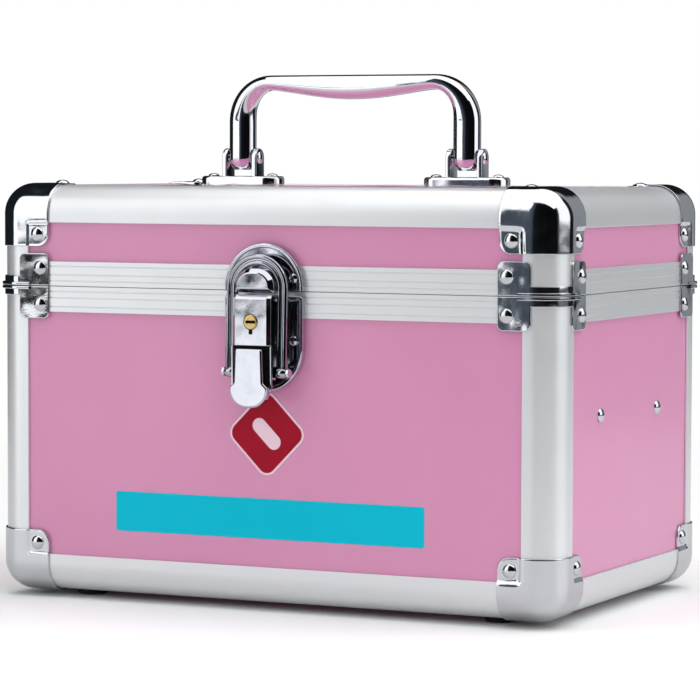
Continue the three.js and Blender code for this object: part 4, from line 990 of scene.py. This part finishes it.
# Pale enamel: pinkish white, with a gloss that varies where it pooled.
border, tree, shader, place = new_material("pale_enamel", "#E8C9D6", 0.0, 0.28)
pool = add(tree, "TexNoise", place, Scale=110.0, Detail=2.0)
feed(shader, Roughness=add(tree, "MapRange", pool, To_Min=0.22, To_Max=0.36))

r = badge_reach
diamond = [(0, badge_centre - r), (0.99 * r, badge_centre), (0, badge_centre + r), (-0.99 * r, badge_centre)]
plate = pressed(diamond, badge_radius, soft_edge(0.02, 0.3, 0.1, 3), on_panel, steps=12)
field = pressed(diamond, badge_radius, [(0.9, 0.2), (0.9, 0.33), (0.95, 0.36)], on_panel, steps=12)
c, s = circle(72)
tablet = np.stack([c * tablet_radius, s * tablet_radius + np.sign(s) * tablet_half], -1)
tilted = tablet @ np.array([[1, 1], [-1, 1]]) * np.sqrt(0.5)
pill = skin_of([on_panel(k * tilted[:, 0], badge_centre + k * tilted[:, 1], h)
                for k, h in ((1, 0.3), (1, 0.42), (0.985, 0.46))])
build("badge_border_and_tablet", [plate, pill], border, "case")
build("badge_field", [field], enamel, "case")

# Floor, light and camera
# A round white table that fades into the white background, two tall soft windows left and right,
# a large soft light overhead, and a dim room behind the camera for the chrome to mirror.

# Painted board: white and matt. Towards its rim it glows, so that its edge vanishes. The metal
# mirrors it at about three quarters of its brightness, as the photograph's board was whitened.
mirrored_share = 0.72
floor_paint, tree, shader, place = new_material("white_painted_board", "#F2F2F2", 0.0, 0.55,
                                                Emission_Color=(1, 1, 1, 1))
distance = add(tree, "VectorMath", place, operation="LENGTH").outputs["Value"]
fade = add(tree, "MapRange", distance, From_Min=0.13, From_Max=0.85)
mirrored = add(tree, "LightPath").outputs["Is Glossy Ray"]
dulled = add(tree, "MapRange", mirrored, To_Min=1.0, To_Max=mirrored_share)
glow = add(tree, "Math", fade, dulled, operation="MULTIPLY")
dulled_white = [mirrored_share * v for v in linear("#F0F0F0")[:3]] + [1]
plain = add(tree, "MixRGB", mirrored, linear("#FCFCFC"), dulled_white)
paint = add(tree, "MixRGB", fade, plain, linear("#000000"))
feed(shader, Base_Color=paint, Emission_Strength=glow)

table_radius, table_thickness = 950, 20
table = turned([(table_radius, -table_thickness), (table_radius, 0)], (0, 0, 0), (0, 0, 1), 96)
build("table", [table], floor_paint)


def soft_light(name, place, aim, size, radiance, mirrored=True):
    """A rectangular area light turned to face a point. Its power is four times its area times
    the brightness it shows. A fill light isn't mirrored by the metal."""
    lamp = bpy.data.lights.new(name, "AREA")
    lamp.shape = "RECTANGLE"
    lamp.size, lamp.size_y = size
    lamp.energy = 4 * size[0] * size[1] * radiance
    holder = bpy.data.objects.new(name, lamp)
    holder.location = place
    holder.rotation_euler = (Vector(aim) - Vector(place)).to_track_quat("-Z", "Y").to_euler()
    holder.visible_camera = False
    holder.visible_glossy = mirrored
    bpy.context.scene.collection.objects.link(holder)


soft_light("overhead", (0.44, 0.08, 1.35), (0.44, 0.08, 0), (2.32, 1.65), 1.12)
soft_light("left_window", (-1.73, -1.97, 1.62), (0, -0.08, 1.62), (1.68, 4.45), 1.07)
soft_light("right_window", (1.9, 0.5, 1.4), (0.12, -0.05, 1.4), (1.75, 2.55), 0.9)
soft_light("front_fill", (1.2, -2.1, 1.1), (0, 0, 0.1), (2.2, 2.2), 1.08, False)
soft_light("right_fill", (2.3, -0.4, 0.4), (0.1, 0, 0.1), (1.6, 0.8), 1.2, False)
soft_light("top_fill", (0, 0, 2.2), (0, 0, 0), (3.0, 3.0), 0.8, False)

# A low black card on the table beside the left window, turned to face the case, gives the brackets
# of the left post something dark to mirror.
card_x, card_y = -1141, -1692
card_half, card_low, card_high, card_radius = 300, 30, 100, 30
facing = (0.85, 0.53)
card = pressed(
    box(-card_half, card_low, card_half, card_high), card_radius, [(0, 0), (0, 2)], lambda u, v, w:
    at(card_x + u * facing[0] + w * facing[1], card_y + w * facing[0] - u * facing[1], v))
build("black_card", [card], shade_and_card_black)

# What the chrome mirrors of the room, by degrees round from the front of the case to its right:
# dark, with dim pale walls here and there.
room = {-180: "#17191C", -60: "#1C2024", -20: "#4A535E", -10: "#15181B", 12: "#0C0D0E", 74: "#0A0A0B",
        84: "#6B6F73", 125: "#6B6F73", 135: "#141517", 153: "#141517", 157: "#92969A", 175: "#92969A",
        180: "#17191C"}
world = bpy.data.worlds.new("studio")
bpy.context.scene.world = world
world.use_nodes = True
tree = world.node_tree
way_seen = add(tree, "SeparateXYZ", add(tree, "TexCoord").outputs["Generated"])
ahead = add(tree, "Math", way_seen.outputs["Y"], -1.0, operation="MULTIPLY")
turn = add(tree, "Math", way_seen.outputs["X"], ahead, operation="ARCTAN2")
dim = add(tree, "ValToRGB", add(tree, "MapRange", turn, From_Min=-np.pi, From_Max=np.pi))
ramp = dim.color_ramp.elements
ramp.remove(ramp[1])
for degrees, code in room.items():
    share = (degrees + 180) / 360
    mark = ramp.new(share) if share else ramp[0]
    mark.color = linear(code)
white = add(tree, "MixRGB", add(tree, "LightPath").outputs["Is Camera Ray"], dim, (1, 1, 1, 1))
feed(tree.nodes["Background"], Color=white)

# The camera fitted to the edges of the case: how far round, up and rolled it is, and where the
# middle of the case's foot lies from it (right, up and towards it).
azimuth, elevation, roll = np.radians([25.652, 3.336, -0.19])
foot_seen = Vector((0.000813, -0.09976, -1.404194))
foot = Vector((0, middle_y, bottom)) / 1000
turn = (Matrix.Rotation(azimuth, 4, "Z") @ Matrix.Rotation(np.pi / 2 - elevation, 4, "X")
        @ Matrix.Rotation(-roll, 4, "Z"))
camera = bpy.data.objects.new("camera", bpy.data.cameras.new("camera"))
camera.data.lens = 168.576
camera.data.sensor_width = 36
camera.data.clip_end = 50
camera.matrix_world = Matrix.Translation(foot) @ turn @ Matrix.Translation(-foot_seen)
bpy.context.scene.collection.objects.link(camera)
bpy.context.scene.camera = camera
bpy.context.scene.view_settings.view_transform = "Standard"
